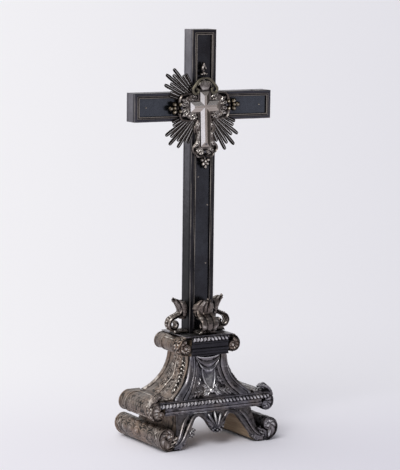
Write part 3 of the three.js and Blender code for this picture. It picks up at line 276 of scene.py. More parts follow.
slotMaterials = {
    "oak": oakMaterial(oakLook),
    "tarnished_silver": silver("tarnishedSilver"),
    "brown_silver": silver("brownSilver"),
    "grey_silver": silver("greySilver"),
    "black_silver": silver("blackenedSilver"),
    "bright_silver": silver("polishedSilver"),
    "gilt_patina": silver("wornGilding"),
}
nodeMaterials = {"cross_panel": silver("smokedSilver"), "cap_front_moulding": silver("blackenedSilver")}
nodeMaterials |= {f"panel_nail_{i}": silver("polishedSilver") for i in range(1, 6)}
nodeSlots = {entry["node"]: entry["material_slot"] for entry in record["subparts"]}
for nodeName, node in frame["nodes"].items():
    for place in node.material_slots:
        place.material = nodeMaterials.get(nodeName, slotMaterials[nodeSlots[nodeName]])
print("materials made")

# embossing: every sheet is a grid of places, with a height in millimetres at each
mm = 0.001


def bezier(start, control, end, steps=60):
    t = np.linspace(0, 1, steps)[:, None]
    a, b, c = (np.array(p, float) for p in (start, control, end))
    return a * (1 - t) ** 2 + 2 * b * t * (1 - t) + c * t ** 2


def curveThrough(points, steps=10):
    # smooth line through the points
    p = np.array(points, float)
    p = np.vstack([2 * p[0] - p[1], p, 2 * p[-1] - p[-2]])
    t = np.linspace(0, 1, steps, False)[:, None]
    parts = []
    for a, b, c, d in zip(p[:-3], p[1:-2], p[2:-1], p[3:]):
        square = (2 * a - 5 * b + 4 * c - d) * t ** 2
        parts.append(0.5 * (2 * b + (c - a) * t + square + (3 * b - a - 3 * c + d) * t ** 3))
    return np.vstack(parts + [p[-2:-1]])


def spiralLine(eye, radius, start, turn, decay, steps=40):
    # angles in degrees; the radius shrinks by decay every half turn
    swept = np.radians(np.linspace(0, turn, steps))
    r = radius * decay ** (np.abs(swept) / math.pi)
    angle = math.radians(start) + swept
    return np.stack([eye[0] + r * np.cos(angle), eye[1] + r * np.sin(angle)], 1)


def measured(line):
    # distance travelled at each point
    return np.concatenate([[0], np.cumsum(np.hypot(*np.diff(line, axis=0).T))])


def resample(line, count):
    at = measured(line)
    want = np.linspace(0, at[-1], count)
    return np.stack([np.interp(want, at, line[:, 0]), np.interp(want, at, line[:, 1])], 1)


def offset(line, distance):
    # positive distances lie to the left of the direction of travel
    step = np.gradient(line, axis=0)
    step /= np.hypot(*step.T)[:, None] + 1e-9
    return line + np.stack([-step[:, 1], step[:, 0]], 1) * distance


def alongLine(across, up, line):
    # share of the way along the line, and the signed distance from it, for each point of the grid
    line = np.array(line, float)
    at = measured(line)
    best = np.full(across.shape, 1e9)
    share = np.zeros(across.shape)
    signed = np.zeros(across.shape)
    for i in range(len(line) - 1):
        (x0, z0), (x1, z1) = line[i], line[i + 1]
        size = at[i + 1] - at[i]
        dx, dz = (x1 - x0) / size, (z1 - z0) / size
        t = np.clip((across - x0) * dx + (up - z0) * dz, 0, size)
        ex, ez = across - x0 - t * dx, up - z0 - t * dz
        away = np.hypot(ex, ez)
        closer = away < best
        best = np.where(closer, away, best)
        share = np.where(closer, (at[i] + t) / at[-1], share)
        signed = np.where(closer, np.sign(dx * ez - dz * ex) * away, signed)
    return share, signed


def ridge(across, up, line, width, height, ends, crest=0.5):
    # raised line; crest 0.5 is round, 1 is peaked
    share, away = alongLine(across, up, line)
    taper = ends + (1 - ends) * np.sin(math.pi * np.clip(share, 0.001, 0.999)) ** 0.5
    inside = np.clip(1 - (away / (width / 2 * taper)) ** 2, 0, 1)
    return height * taper * inside ** crest


def leafRidge(across, up, line, width, height, lobes, tip=0.8):
    # leaf along a line, with lobed edges, a sunk midrib and slanting veins
    share, away = alongLine(across, up, line)
    share = np.clip(share, 0.001, 0.999)
    swell = np.sin(math.pi * share ** tip) ** 0.6
    half = width / 2 * swell * (1 + 0.2 * np.cos(2 * math.pi * lobes * share)) + 0.01
    d = np.abs(away) / half
    vein = 0.72 + 0.28 * np.cos(2 * math.pi * (lobes * share - 0.9 * d))
    rib = 1 - 0.35 * bell(away, 0.09 * width + 0.2)
    return height * domed(d) * vein * rib * swell


def boss(across, up, centre, radii, height):
    d = ((across - centre[0]) / radii[0]) ** 2 + ((up - centre[1]) / radii[1]) ** 2
    return height * np.clip(1 - d, 0, 1) ** 0.5


def blurred(heights, passes):
    out = heights.copy()
    for _ in range(passes):
        padded = np.pad(out, 1, mode="edge")
        out = (padded[:-2, 1:-1] + padded[2:, 1:-1] + padded[1:-1, :-2] + padded[1:-1, 2:] + 4 * out) / 8
    return out


def gridOf(first, second):
    return np.meshgrid(first, second, indexing="ij")


def placeOf(x, y, z):
    return np.stack(np.broadcast_arrays(x, y, z), -1)


def sided(points, side):
    # points drawn for the right side, on the side that is asked for
    return np.array(points, float) * (side, 1)


def bell(x, width):
    # 1 at nought, falling smoothly away on both sides
    return np.exp(-(x / width) ** 2)


def domed(d, power=2):
    # rounded profile with its edge at 1, squarer with a higher power
    return np.clip(1 - d ** power, 0, 1) ** 0.5


# wear of a sheet: its level on the flat, and how much fine and broad relief counts
sheetWear = {"level": 0.4, "fine": 0.6, "broad": 0.4, "broadPasses": 7}


def gridFaces(nu, nv, wrap):
    # seen side, hidden side and the rims that close them
    index = np.arange(nu * nv).reshape(nu, nv)
    if wrap:
        index = np.vstack([index, index[:1]])
    a, b, c, d = index[:-1, :-1], index[1:, :-1], index[1:, 1:], index[:-1, 1:]
    front = np.stack([a, b, c, d], -1).reshape(-1, 4)
    if wrap:
        pairs = [(index[1:, 0], index[:-1, 0]), (index[:-1, -1], index[1:, -1])]
    else:
        loop = np.concatenate([index[:, 0], index[-1, 1:], index[-2::-1, -1], index[0, -2:0:-1]])
        pairs = [(np.roll(loop, -1), loop)]
    rims = [np.stack([after, before, before + nu * nv, after + nu * nv], -1) for after, before in pairs]
    return np.vstack([front, front[:, ::-1] + nu * nv, *rims])


def gridShell(place, heights, thickness, outward=1, wrap=False, passes=10, gain=0.75, backHeights=0,
              polish=0):
    # place in millimetres, shape (nu, nv, 3); outward is 1 or -1, the side that is seen; polish is added wear
    nu, nv = heights.shape
    padded = np.concatenate([place[-1:], place, place[:1]]) if wrap else place
    du = np.gradient(padded, axis=0)
    du = du[1:-1] if wrap else du
    normal = np.cross(du, np.gradient(place, axis=1)) * outward
    normal /= np.linalg.norm(normal, axis=2, keepdims=True) + 1e-12
    front = place + normal * heights[..., None]
    back = place - normal * (thickness + np.broadcast_to(backHeights, heights.shape)[..., None])
    faces = gridFaces(nu, nv, wrap)
    fine = heights - blurred(heights, passes)
    broad = heights - blurred(heights, sheetWear["broadPasses"] * passes)
    raised = sheetWear["fine"] * fine + sheetWear["broad"] * broad
    worn = np.clip(sheetWear["level"] + gain * raised + polish, 0, 1).ravel()
    hidden = np.full(nu * nv, sheetWear["level"]) if np.isscalar(backHeights) else worn
    points = np.concatenate([front.reshape(-1, 3), back.reshape(-1, 3)])
    return points, faces if outward > 0 else faces[:, ::-1], np.concatenate([worn, hidden])


def trimmedShell(place, heights, inside, thickness, polish=0):
    # only the cells whose four corners are inside, closed round their edge
    count = heights.size
    index = np.arange(count).reshape(heights.shape)
    cells = inside[:-1, :-1] & inside[1:, :-1] & inside[1:, 1:] & inside[:-1, 1:]
    corners = [index[:-1, :-1], index[1:, :-1], index[1:, 1:], index[:-1, 1:]]
    points, _, worn = gridShell(place, heights, thickness, polish=polish)
    front = np.stack([corner[cells] for corner in corners], -1)
    edges = {(a, b) for face in front.tolist() for a, b in zip(face, face[1:] + face[:1])}
    rim = [(b, a, a + count, b + count) for a, b in edges if (b, a) not in edges]
    kept = np.vstack([front, front[:, ::-1] + count, np.array(rim)])
    used, flat = np.unique(kept, return_inverse=True)
    return [(points[used], flat.reshape(kept.shape), worn[used])]


def mirrorShell(shell):
    points, faces, worn = shell
    return points * (-1, 1, 1), faces[:, ::-1], worn


def sweep(place, line, width, height, ends, around, groove=0.0):
    # half-round bar along a line in a plane; place(x, z, rise) sets it on its surface
    line = np.array(line, float)
    share = measured(line) / measured(line)[-1]
    taper = ends + (1 - ends) * np.sin(math.pi * np.clip(share, 0.002, 0.998)) ** 0.5
    taper[[0, -1]] = 0.05
    angle = np.linspace(0, math.pi, around)
    across = -np.cos(angle)
    rise = np.sin(angle) ** 0.7 * (1 - groove * bell(across, 0.28))
    across = np.concatenate([across, [0.5, 0, -0.5]])
    rise = np.concatenate([rise, [0, 0, 0]])
    step = np.gradient(line, axis=0)
    step /= np.hypot(*step.T)[:, None]
    u = across[None] * (width / 2 * taper)[:, None]
    x = line[:, :1] - step[:, 1:] * u
    z = line[:, 1:] + step[:, :1] * u
    points = place(x, z, rise[None] * (height * taper)[:, None])
    index = np.arange(x.size).reshape(x.shape)
    after = np.roll(index, -1, axis=1)
    faces = np.stack([index[:-1], index[1:], after[1:], after[:-1]], -1).reshape(-1, 4)
    start, end = [index[0].tolist()], [index[-1][::-1].tolist()]
    worn = np.broadcast_to(0.1 + 0.64 * rise ** 2, x.shape).ravel()
    return points.reshape(-1, 3), faces.tolist() + start + end, worn


def addPiece(name, shells, metal, node, sharp=42):
    # all shells as one mesh of this metal, in place of the CAD node
    points, faces, worn, count = [], [], [], 0
    for shellPoints, shellFaces, shellWorn in shells:
        points.append(shellPoints)
        worn.append(shellWorn)
        faces += [[i + count for i in face] for face in np.asarray(shellFaces, object).tolist()]
        count += len(shellPoints)
    mesh = bpy.data.meshes.new(name)
    mesh.from_pydata((np.concatenate(points) * mm).tolist(), [], faces)
    mesh.polygons.foreach_set("use_smooth", [True] * len(mesh.polygons))
    mesh.set_sharp_from_angle(angle=math.radians(sharp))
    mesh.materials.append(silver(metal, True))
    layer = mesh.attributes.new("relief", "FLOAT", "POINT")
    layer.data.foreach_set("value", np.concatenate(worn).astype(np.float32))
    mesh.update()
    piece = bpy.data.objects.new(name, mesh)
    bpy.context.collection.objects.link(piece)
    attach(piece, "root")
    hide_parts(node)


def addPair(name, shells, metal, node, leftMetal=None):
    addPiece(f"{name}_right", shells, metal, f"{node}_right")
    addPiece(f"{name}_left", [mirrorShell(shell) for shell in shells], leftMetal or metal, f"{node}_left")


# concave body: the same lines as its wooden core, one sheet further out
bodyForm = {
    "foot": 60.3, "top": 111.7, "skin": 1.3, "sheet": 0.9,
    "sideLine": ((26, 112), (28, 78), (57, 60)),
    "frontLine": ((25.5, 112), (27, 78), (40.5, 60)),
}


def reachOf(line, grow):
    # distance from the middle at each height, for a falling line moved outwards
    moved = offset(bezier(*line), grow)
    order = np.argsort(moved[:, 1])
    return lambda z: np.interp(z, moved[order, 1], moved[order, 0])


frontReach = reachOf(bodyForm["frontLine"], bodyForm["skin"])
sideReach = reachOf(bodyForm["sideLine"], bodyForm["skin"])

frontRelief = {
    "strap": [(-25, 114), (-24, 96), (-31.5, 76), (-49, 59)], "strapWidth": 11, "strapHeight": 3.2,
    "innerLine": 8.4,
    "frond": [(12, 69), (19, 66), (27, 65.5), (37, 62.5)], "curl": [(12.5, 84), (17, 77), (23, 72.5)],
    "bladeRoot": (1.5, 67.5), "bladeTips": [(12.5, 76), (15, 62)], "button": (0, 67.5),
    "swagTop": 111.5, "swagHalf": 17.5, "swagHang": 110, "swagDrop": 20,
    "tongueTop": 99, "tongueFoot": 70, "tongueHalf": 10.5, "tongueShows": 96,
}


def bodyFrontHeights(x, z):
    look = frontRelief
    h = np.zeros(x.shape)
    for side in (1, -1):
        strap = curveThrough(sided(look["strap"], side))
        share, away = alongLine(x, z, strap)
        d = away / (look["strapWidth"] / 2 * (1 + 0.35 * share ** 3))
        grooves = 0.45 * bell(d - 0.3, 0.13) * (np.abs(d) < 1)
        h = np.maximum(h, look["strapHeight"] * (domed(d) - grooves))
        h = np.maximum(h, ridge(x, z, offset(strap, side * look["innerLine"]), 4.6, 1.3, 0.5))
        h = np.maximum(h, leafRidge(x, z, curveThrough(sided(look["frond"], side)), 8, 2.0, 5))
        h = np.maximum(h, leafRidge(x, z, curveThrough(sided(look["curl"], side)), 5, 1.6, 3))
        # crossed leaves of the palmette
        for tipX, tipZ in look["bladeTips"]:
            blade = sided([look["bladeRoot"], (0.55 * tipX, 0.5 * (68 + tipZ)), (tipX, tipZ)], side)
            h = np.maximum(h, leafRidge(x, z, curveThrough(blade, 8), 6.4, 2.6, 2, 0.7))
    # drapery: folds that hang between the straps
    span = look["swagHalf"]
    arc = np.clip(1 - (x / span) ** 2, 0, 1)
    hang = look["swagHang"] - look["swagDrop"] * arc ** 0.8
    top = look["swagTop"] - 2.5 * arc
    cloth = np.clip((z - hang) / np.maximum(top - hang, 0.1), 0, 1) * (np.abs(x) < span)
    inside = (z > hang) & (z < top) & (np.abs(x) < span)
    folds = 1.2 + 1.1 * np.abs(np.sin(2.6 * math.pi * cloth ** 0.85)) + 0.5 * np.clip(1 - cloth * 4, 0, 1)
    h = np.where(inside, np.maximum(h, folds * np.clip(arc * 6, 0.35, 1)), h)
    # smooth tongue below the drapery, with a rolled edge and a pointed foot
    drop = np.clip((look["tongueTop"] - z) / (look["tongueTop"] - look["tongueFoot"]), 0, 1)
    half = look["tongueHalf"] * np.clip(1 - drop ** 3.2, 0.02, 1) ** 0.6
    d = np.abs(x) / half
    lip = domed(d, 6) * (1.5 + 0.8 * bell(d - 0.88, 0.1) - 0.5 * bell(d - 0.68, 0.1))
    h = np.maximum(h, np.where((z < look["tongueShows"]) & (z > look["tongueFoot"]) & (d < 1), lip, 0))
    h = np.maximum(h, boss(x, z, look["button"], (3.4, 3.2), 3.2))
    ground = 0.12 * np.sin(1.9 * x + 0.7 * z) * np.sin(1.3 * z - 0.5 * x)
    return h + np.where(h < 0.1, ground, 0)


def makeBodyFront():
    u, z = gridOf(np.linspace(-1, 1, 190), np.linspace(bodyForm["foot"], bodyForm["top"], 110))
    x = u * sideReach(z)
    place = placeOf(x, -frontReach(z), z)
    h = bodyFrontHeights(x, z) * np.clip((1 - np.abs(u)) * 40, 0, 1)
    # the tongue and the palmette are rubbed more than the ground
    tongue = 0.26 * np.exp(-(x / 8) ** 4 - ((z - 83) / 12) ** 4)
    palmette = 0.22 * np.exp(-(x / 15) ** 4 - ((z - 68) / 8) ** 4)
    shell = gridShell(place, h, bodyForm["sheet"], polish=tongue + palmette)
    addPiece("bodyFrontRelief", [shell], "tarnishedSilver", "body_front_panel")


sideRelief = {
    "strapIn": 4.5, "strapWidth": 6.5, "strapHeight": 1.5, "levels": (66, 74, 82, 91, 100),
    "stem": [(0, 62), (2, 72), (-1.5, 84), (1, 96), (0, 108)], "reach": 21, "narrowing": 2.8, "curl": 3.1,
}


def bodySideHeights(y, z, reach):
    look = sideRelief
    d = (reach - np.abs(y) - look["strapIn"]) / (look["strapWidth"] / 2)
    reeds = 0.6 + 0.4 * np.abs(np.sin(1.5 * math.pi * d))
    h = look["strapHeight"] * domed(d, 4) * reeds
    # engraved foliage: a stem with leaves and curls either side
    h = np.maximum(h, ridge(y, z, curveThrough(look["stem"]), 1.8, 1.2, 0.5))
    for i, level in enumerate(look["levels"]):
        wide = look["reach"] - look["narrowing"] * i
        for side in (1, -1):
            leaf = sided([(0.5, level - 2), (0.5 * wide, level + 1.5), (wide, level - 1.5)], side)
            h = np.maximum(h, leafRidge(y, z, curveThrough(leaf), 8 - 0.7 * i, 1.3, 3))
            eye = (side * wide * 0.62, level + 5.2)
            curl = spiralLine(eye, look["curl"] - 0.25 * i, -90, side * 480, 0.6)
            h = np.maximum(h, ridge(y, z, curl, 1.8, 0.9, 0.5))
    return h * np.clip((z - 60) / 2, 0, 1)


def makeBodySides():
    u, z = gridOf(np.linspace(-1, 1, 150), np.linspace(bodyForm["foot"], bodyForm["top"], 90))
    reach = frontReach(z)
    y = u * reach
    place = placeOf(sideReach(z), y, z)
    h = bodySideHeights(y, z, reach) * np.clip((1 - np.abs(u)) * 40, 0, 1)
    shell = gridShell(place, h, bodyForm["sheet"], gain=0.8)
    addPair("bodySideRelief", [shell], "brownSilver", "body_side_panel")


garlandForm = {
    "half": 7.5, "foot": 66, "top": 109, "in": 8.5, "lift": 0.35, "sheet": 0.3,
    "stalk": [(0, 108), (0.8, 90), (0, 69)], "leaves": 8, "first": 104, "pitch": 4.9,
}


def makeGarlands(form):
    # leaves and berries tied in a drop, down the front edge of each side
    half, foot, top = form["half"], form["foot"], form["top"]
    u, z = gridOf(np.linspace(-half, half, 46), np.linspace(foot, top, 120))
    place = placeOf(sideReach(z) + form["lift"], form["in"] + u - frontReach(z), z)
    h = ridge(u, z, curveThrough(form["stalk"]), 2.4, 1.6, 0.5)
    for i in range(form["leaves"]):
        level = form["first"] - i * form["pitch"]
        size = 3.3 + 1.5 * math.sin(math.pi * (i + 0.6) / form["leaves"])
        for side in (1, -1):
            leaf = sided([(0.6, level + 2), (size * 0.62, level - 0.4), (size * 1.25, level - 3.4)], side)
            h = np.maximum(h, leafRidge(u, z, curveThrough(leaf, 6), size * 0.95, 3.0, 2))
        h = np.maximum(h, boss(u, z, (0.9 * (-1) ** i, level), (1.9, 1.9), 3.6))
    edge = np.clip((half - np.abs(u)) / 1.5, 0, 1)
    edge = edge * np.clip((z - foot) / 2, 0, 1) * np.clip((top - z) / 2, 0, 1)
    shell = gridShell(place, h * edge, form["sheet"], polish=-0.12)
    addPair("leafDrop", [shell], "leafSilver", "side_garland")


makeBodyFront()
makeBodySides()
makeGarlands(garlandForm)
print("body sheets made")

# scroll rolls: a rolled band along Y with embossed work outside and a volute face in each end
footFlank = ((53.5, 42.2), (57.5, 1.1), (73, 1.1))
rollForms = {
    "foot": {
        "eye": (73, 19.5), "radius": 19.5, "start": -90, "turn": 540, "decay": 0.5, "depth": 116.2,
        "outward": -1, "lead": bezier(*footFlank, 24)[:-1], "slope": (54.95, 40.9, 42.5), "stemEdge": 65.6,
        "fade": 104,
    },
    "mid": {
        "eye": (77, 44.5), "radius": 18, "start": 90, "turn": -468, "decay": 0.44, "depth": 88.1,
        "outward": 1, "lead": np.array([(59.5, 61.4), (66, 61.4), (73, 61.4)]), "slope": None, "fade": 62,
    },
    "cap": {
        "eye": (34.3, 122.6), "radius": 13, "start": 90, "turn": -486, "decay": 0.62, "depth": 65.7,
        "outward": 1, "lead": np.array([(27.1, 134.5), (31, 134.5)]), "slope": None, "fade": 50,
    },
}
rollBand = {
    "thickness": 2.2, "sunk": 0.9, "faceInset": 2.4, "faceSheet": 0.8, "faceRelief": 2.25, "flutes": 4.5,
    "button": 0.15, "buttonHeight": 2.3,
}
# rings by their inset, width and height; leaves by their number, pitch, reach and height
rollRelief = {
    "foot": {"rings": ((1.6, 3.2, 0.6), (6, 2.4, 0.5), (15, 2.6, 0.5)), "pitch": 17, "row": 13,
             "ovalsFrom": 16, "arches": (6.5, 14.5), "archPitch": 9, "archRise": 5},
    "mid": {"rings": ((1.4, 2.8, 0.5), (17, 3.0, 0.7), (20.5, 1.6, 0.3)), "pitch": 6, "row": 5,
            "panelFrom": (22, 12), "leaves": (6, 10, 16, 2.3), "linesFrom": 17},
    "cap": {"rings": ((1.3, 2.6, 0.7), (17.5, 2.6, 0.8), (21, 1.6, 0.5)), "leaves": (5, 8.4, 17, 2.7),
            "lines": (14, 33), "linesFrom": 17},
}


def ringLines(fromEnd, rings):
    # raised lines along the end of a roll, each with its inset, width and height
    h = np.zeros(fromEnd.shape)
    for inset, width, height in rings:
        h = np.maximum(h, height * domed((fromEnd - inset) / (width / 2)))
    return h


def footRollHeights(s, y, fromEnd):
    # rows of oval bosses held in strapwork, with arched lines near the ends
    look = rollRelief["foot"]
    h = ringLines(fromEnd, look["rings"])
    along = (y / look["pitch"] + 0.5 * np.floor(s / look["row"])) % 1 - 0.5
    over = (s / look["row"]) % 1 - 0.5
    oval = np.clip(1 - (along / 0.34) ** 2 - (over / 0.3) ** 2, 0, 1) ** 0.5
    ring = bell((along / 0.43) ** 2 + (over / 0.42) ** 2 - 1, 0.25)
    h = np.maximum(h, np.where(fromEnd > look["ovalsFrom"], 0.75 * oval + 0.4 * ring, 0))
    arch = np.abs(np.sin(s * math.pi / look["archPitch"])) * look["archRise"]
    arched = (fromEnd > look["arches"][0]) & (fromEnd < look["arches"][1])
    return np.maximum(h, np.where(arched, 0.7 * bell(fromEnd - 7.5 - arch, 1.1), 0))


def wrappedLeaves(s, fromEnd, count, pitch, reach, height):
    # leaves laid side by side round the end of a roll, their tips away from it
    h = np.zeros(s.shape)
    for i in range(count):
        middle = 5 + pitch * i
        leaf = curveThrough([(middle - 1, 0.5), (middle, 0.5 * reach), (middle + 1.5, reach)])
        h = np.maximum(h, leafRidge(s, fromEnd, leaf, 1.4 * pitch, height, 2, 0.8))
    return h


def midRollHeights(s, y, fromEnd):
    # scaled panel in a frame of raised lines; leaves round the front end
    look = rollRelief["mid"]
    h = ringLines(fromEnd, look["rings"])
    a = (y / look["pitch"] + 0.5 * np.floor(s / look["row"])) % 1 - 0.5
    b = (s / look["row"]) % 1
    scale = np.clip(1 - (2.1 * a) ** 2 - b ** 2, 0, 1) ** 0.5
    framed = (fromEnd > look["panelFrom"][0]) & (s > look["panelFrom"][1])
    h = np.maximum(h, np.where(framed, 0.32 * scale, 0))
    h = np.maximum(h, np.where(y < 0, wrappedLeaves(s, fromEnd, *look["leaves"]), 0))
    line = bell(s - 10.5, 1.1) + 0.8 * bell(s - 44, 1.1)
    return np.maximum(h, np.where(fromEnd > look["linesFrom"], 1.2 * np.clip(line, 0, 1), 0))


def capRollHeights(s, y, fromEnd):
    # leaves wrapped round the front end, plain lines further back
    look = rollRelief["cap"]
    h = ringLines(fromEnd, look["rings"])
    h = np.maximum(h, np.where(y < 0, wrappedLeaves(s, fromEnd, *look["leaves"]), 0))
    for level in look["lines"]:
        h = np.maximum(h, np.where(fromEnd > look["linesFrom"], 0.9 * bell(s - level, 0.9), 0))
    return h


def voluteFace(form, end):
    # disc in the end of the roll: a rounded whorl that winds in to a button, fluted like a curled leaf
    turns = np.radians(np.linspace(0, 360, 150))
    sense = math.copysign(1, form["turn"])
    outer = (form["radius"] - 1.4) * form["decay"] ** (turns / math.pi)
    angle = math.radians(form["start"]) + sense * turns
    share = np.linspace(0.02, 1, 46)
    r = outer[:, None] * share[None]
    x = form["eye"][0] + r * np.cos(angle)[:, None]
    z = form["eye"][1] + r * np.sin(angle)[:, None]
    y = end * (form["depth"] / 2 - rollBand["faceInset"])
    whorls = np.log(1 / share)[None] / (2 * math.log(1 / form["decay"])) % 1
    roll = np.sin(math.pi * np.clip(whorls, 0.001, 0.999) ** 0.75) ** 0.6 * np.ones(r.shape)
    flutes = np.abs(np.cos(rollBand["flutes"] * angle[:, None] + 2.6 * np.log(r + 0.5))) ** 0.6
    h = rollBand["faceRelief"] * roll * (0.45 + 0.55 * flutes)
    eyeSize = rollBand["button"] * form["radius"] + 1
    button = boss(x, z, form["eye"], (eyeSize, eyeSize), rollBand["buttonHeight"])
    h = np.maximum(h * np.clip((r - 0.6 * eyeSize) / 2, 0, 1), button)
    points, faces, _ = gridShell(placeOf(x, y, z), h, rollBand["faceSheet"], outward=end * sense)
    worn = np.clip(0.05 + 0.3 * h, 0, 1).ravel()
    return points, faces, np.concatenate([worn, 0.3 + 0 * worn])


def footWeb(form, end):
    # leaf that closes the narrow foot of the gap between stem and coil
    z, u = gridOf(np.linspace(1.6, 19, 40), np.linspace(0, 1, 40))
    lead = form["lead"]
    stem = np.interp(z, lead[::-1, 1], lead[::-1, 0])
    x = stem + (form["eye"][0] - 1 - stem) * u * np.clip((19.5 - z) / 8, 0.35, 1)
    y = end * (form["depth"] / 2 - rollBand["faceInset"] - 0.5)
    leaf = curveThrough([(58.5, 18.5), (61.5, 11), (66.5, 5), (71, 3.2)])
    h = leafRidge(x, z, leaf, 9, 2.4, 3) * np.clip((19 - z) / 3, 0, 1)
    return gridShell(placeOf(x, y, z), h, 0.6, outward=end, gain=1.1)


def rollShells(form, heightsOf):
    half = rollBand["thickness"] / 2
    coil = spiralLine(form["eye"], form["radius"] - half, form["start"], form["turn"], form["decay"], 160)
    middle = resample(np.vstack([form["lead"], coil]), 190)
    skin = offset(middle, form["outward"] * (half - rollBand["sunk"]))
    travelled = measured(middle)
    reach = np.full(len(middle), form["depth"] / 2)
    if form["slope"]:
        low, high, top = form["slope"]
        leaning = low + (high - low) * middle[:, 1] / top
        reach = np.where((middle[:, 0] < form["stemEdge"]) & (travelled < 60), leaning, reach)
    v = np.linspace(-1, 1, 170)
    y = reach[:, None] * v[None]
    s = np.broadcast_to(travelled[:, None], y.shape)
    place = placeOf(skin[:, :1], y, skin[:, 1:])
    fromEnd = reach[:, None] * (1 - np.abs(v))[None]
    # no relief where the coil is too tight for it
    h = heightsOf(s, y, fromEnd) * np.clip((form["fade"] - s) / 12, 0, 1)
    band = gridShell(place, h, rollBand["thickness"] - rollBand["sunk"], outward=form["outward"], gain=0.9)
    webs = [footWeb(form, end) for end in (-1, 1)] if form["slope"] else []
    return [band, voluteFace(form, -1), voluteFace(form, 1), *webs]


rollLooks = {
    "foot": (footRollHeights, "tarnishedSilver"),
    "mid": (midRollHeights, "tarnishedSilver"),
    "cap": (capRollHeights, "brownSilver"),
}
for tier, (tierHeights, tierMetal) in rollLooks.items():
    tierShells = rollShells(rollForms[tier], tierHeights)
    addPair(f"{tier}RollRelief", tierShells, tierMetal, f"{tier}_roll", "brownSilver")
print("rolls made")

# gadroon bands: slanting lobes, the lean changing over in the middle
gadroonBands = {
    "mid": {"half": 79, "back": -44.35, "centre": 55.1, "top": 60, "flange": -41.2},
    "cap": {"half": 26.5, "back": -31.85, "centre": 133.1, "top": 136.3, "flange": None},
}
gadroonLook = {"pitch": 5.1, "relief": 2.5, "slant": 0.5, "rise": 3.2, "arc": 1.35, "sheet": 0.9}


def makeGadroons(name, form):
    look, half, top = gadroonLook, form["half"], form["top"]
    u, angle = gridOf(np.linspace(-half, half, int(half * 7)), np.linspace(-look["arc"], look["arc"], 22))
    z = form["centre"] + (look["rise"] - 0.2) * np.sin(angle) / math.sin(look["arc"])
    lean = look["slant"] * (z - form["centre"]) * np.sign(u)
    phase = (np.abs(u) + np.abs(lean) * np.sign(lean * u)) / look["pitch"]
    lobe = np.abs(np.sin(math.pi * phase)) ** 0.55
    profile = np.clip(np.cos(angle), 0, 1) ** 0.6
    h = look["relief"] * profile * (0.12 + 0.88 * lobe)
    points, faces, _ = gridShell(placeOf(u, form["back"] - look["sheet"], z), h, look["sheet"])
    worn = np.clip(0.02 + 0.88 * (lobe * profile) ** 1.8, 0, 1).ravel()
    worn = np.concatenate([worn, np.full(worn.shape, 0.3)])
    # plain lip above, flush with the board behind
    s, t = gridOf(np.linspace(-half, half, 60), np.linspace(0, 1, 14))
    low = form["centre"] + look["rise"] - 0.15
    rounding = 0.9 * np.sin(math.pi * t) ** 0.5
    lip = gridShell(placeOf(s, form["back"] - 0.5, low + (top - low) * t), rounding, 0.5)
    shells = [(points, faces, worn)] + ([lip] if top - low > 0.5 else [])
    if form["flange"]:
        s, t = gridOf(np.linspace(-half, half, 60), np.linspace(form["back"] + 0.1, form["flange"], 6))
        shells.append(gridShell(placeOf(s, t, top + 0.25), np.zeros(s.shape), 0.2))
    addPiece(f"gadroons_{name}", shells, "tarnishedSilver", f"{name}_gadroon_band", 60)


for bandName, bandForm in gadroonBands.items():
    makeGadroons(bandName, bandForm)
print("gadroons made")

# front valance: arches, a shell in the middle and a pendant rocaille, in a leaning sheet
valance = {
    "lean": math.atan2(14.05, 42.5), "out": -57.8, "thickness": 1.6, "top": 44.45, "low": 1.15,
    "stem": 54.4, "toe": 64.7,
}
# ridges and leaves of its right half; a height under 1 is a share of the valance's height
valanceRelief = {
    "arch": [(13.4, 0.68), (15.6, 0.83), (21.5, 0.935), (29.5, 0.88), (37, 0.68), (44, 0.45), (50, 0.26),
             (56, 0.15), (64.5, 0.075)],
    "second": [(38, 0.94), (45, 0.76), (50.5, 0.52), (55, 0.32), (62, 0.17)],
    "spray": [(26, 0.965), (33, 0.93), (40, 0.8)], "eye": (10.4, 0.6), "heart": 0.455,
    "toeLeaf": [(48.5, 13.5), (51, 8), (55, 5), (61, 3.6)],
    "blades": 5, "bladeRoot": 0.5, "bladeTurn": 0.46, "petals": 7, "petalTurn": 30,
}
leftLeaf = [(-42, 15), (-37, 20), (-33, 23.5), (-30, 23)]


def valanceEdges(form):
    # lower and upper edge of the right half, from the middle to the toe
    top = form["top"]
    crown = top - 4
    shellEdge = bezier((0, 0.39 * top), (9, 0.41 * top), (12.5, 0.7 * top), 30)
    rising = bezier((12.5, 0.7 * top), (14.5, crown), (22, crown), 20)
    fall = [(22, crown), (30, 0.84 * top), (37, 0.6 * top), (44, 16), (47.8, 8.5), (51, 5), (57, form["low"])]
    lower = np.vstack([shellEdge, rising[1:], curveThrough(fall, 12)[1:]])
    flank = offset(bezier(*footFlank, 60), 1.0)
    flank = np.stack([flank[:, 0], flank[:, 1] / math.cos(form["lean"])], 1)
    flank = flank[(flank[:, 0] < form["toe"]) & (flank[:, 1] < top)]
    upper = np.vstack([[(0, top), (form["stem"], top)], flank, [(form["toe"], form["low"])]])
    return lower, upper


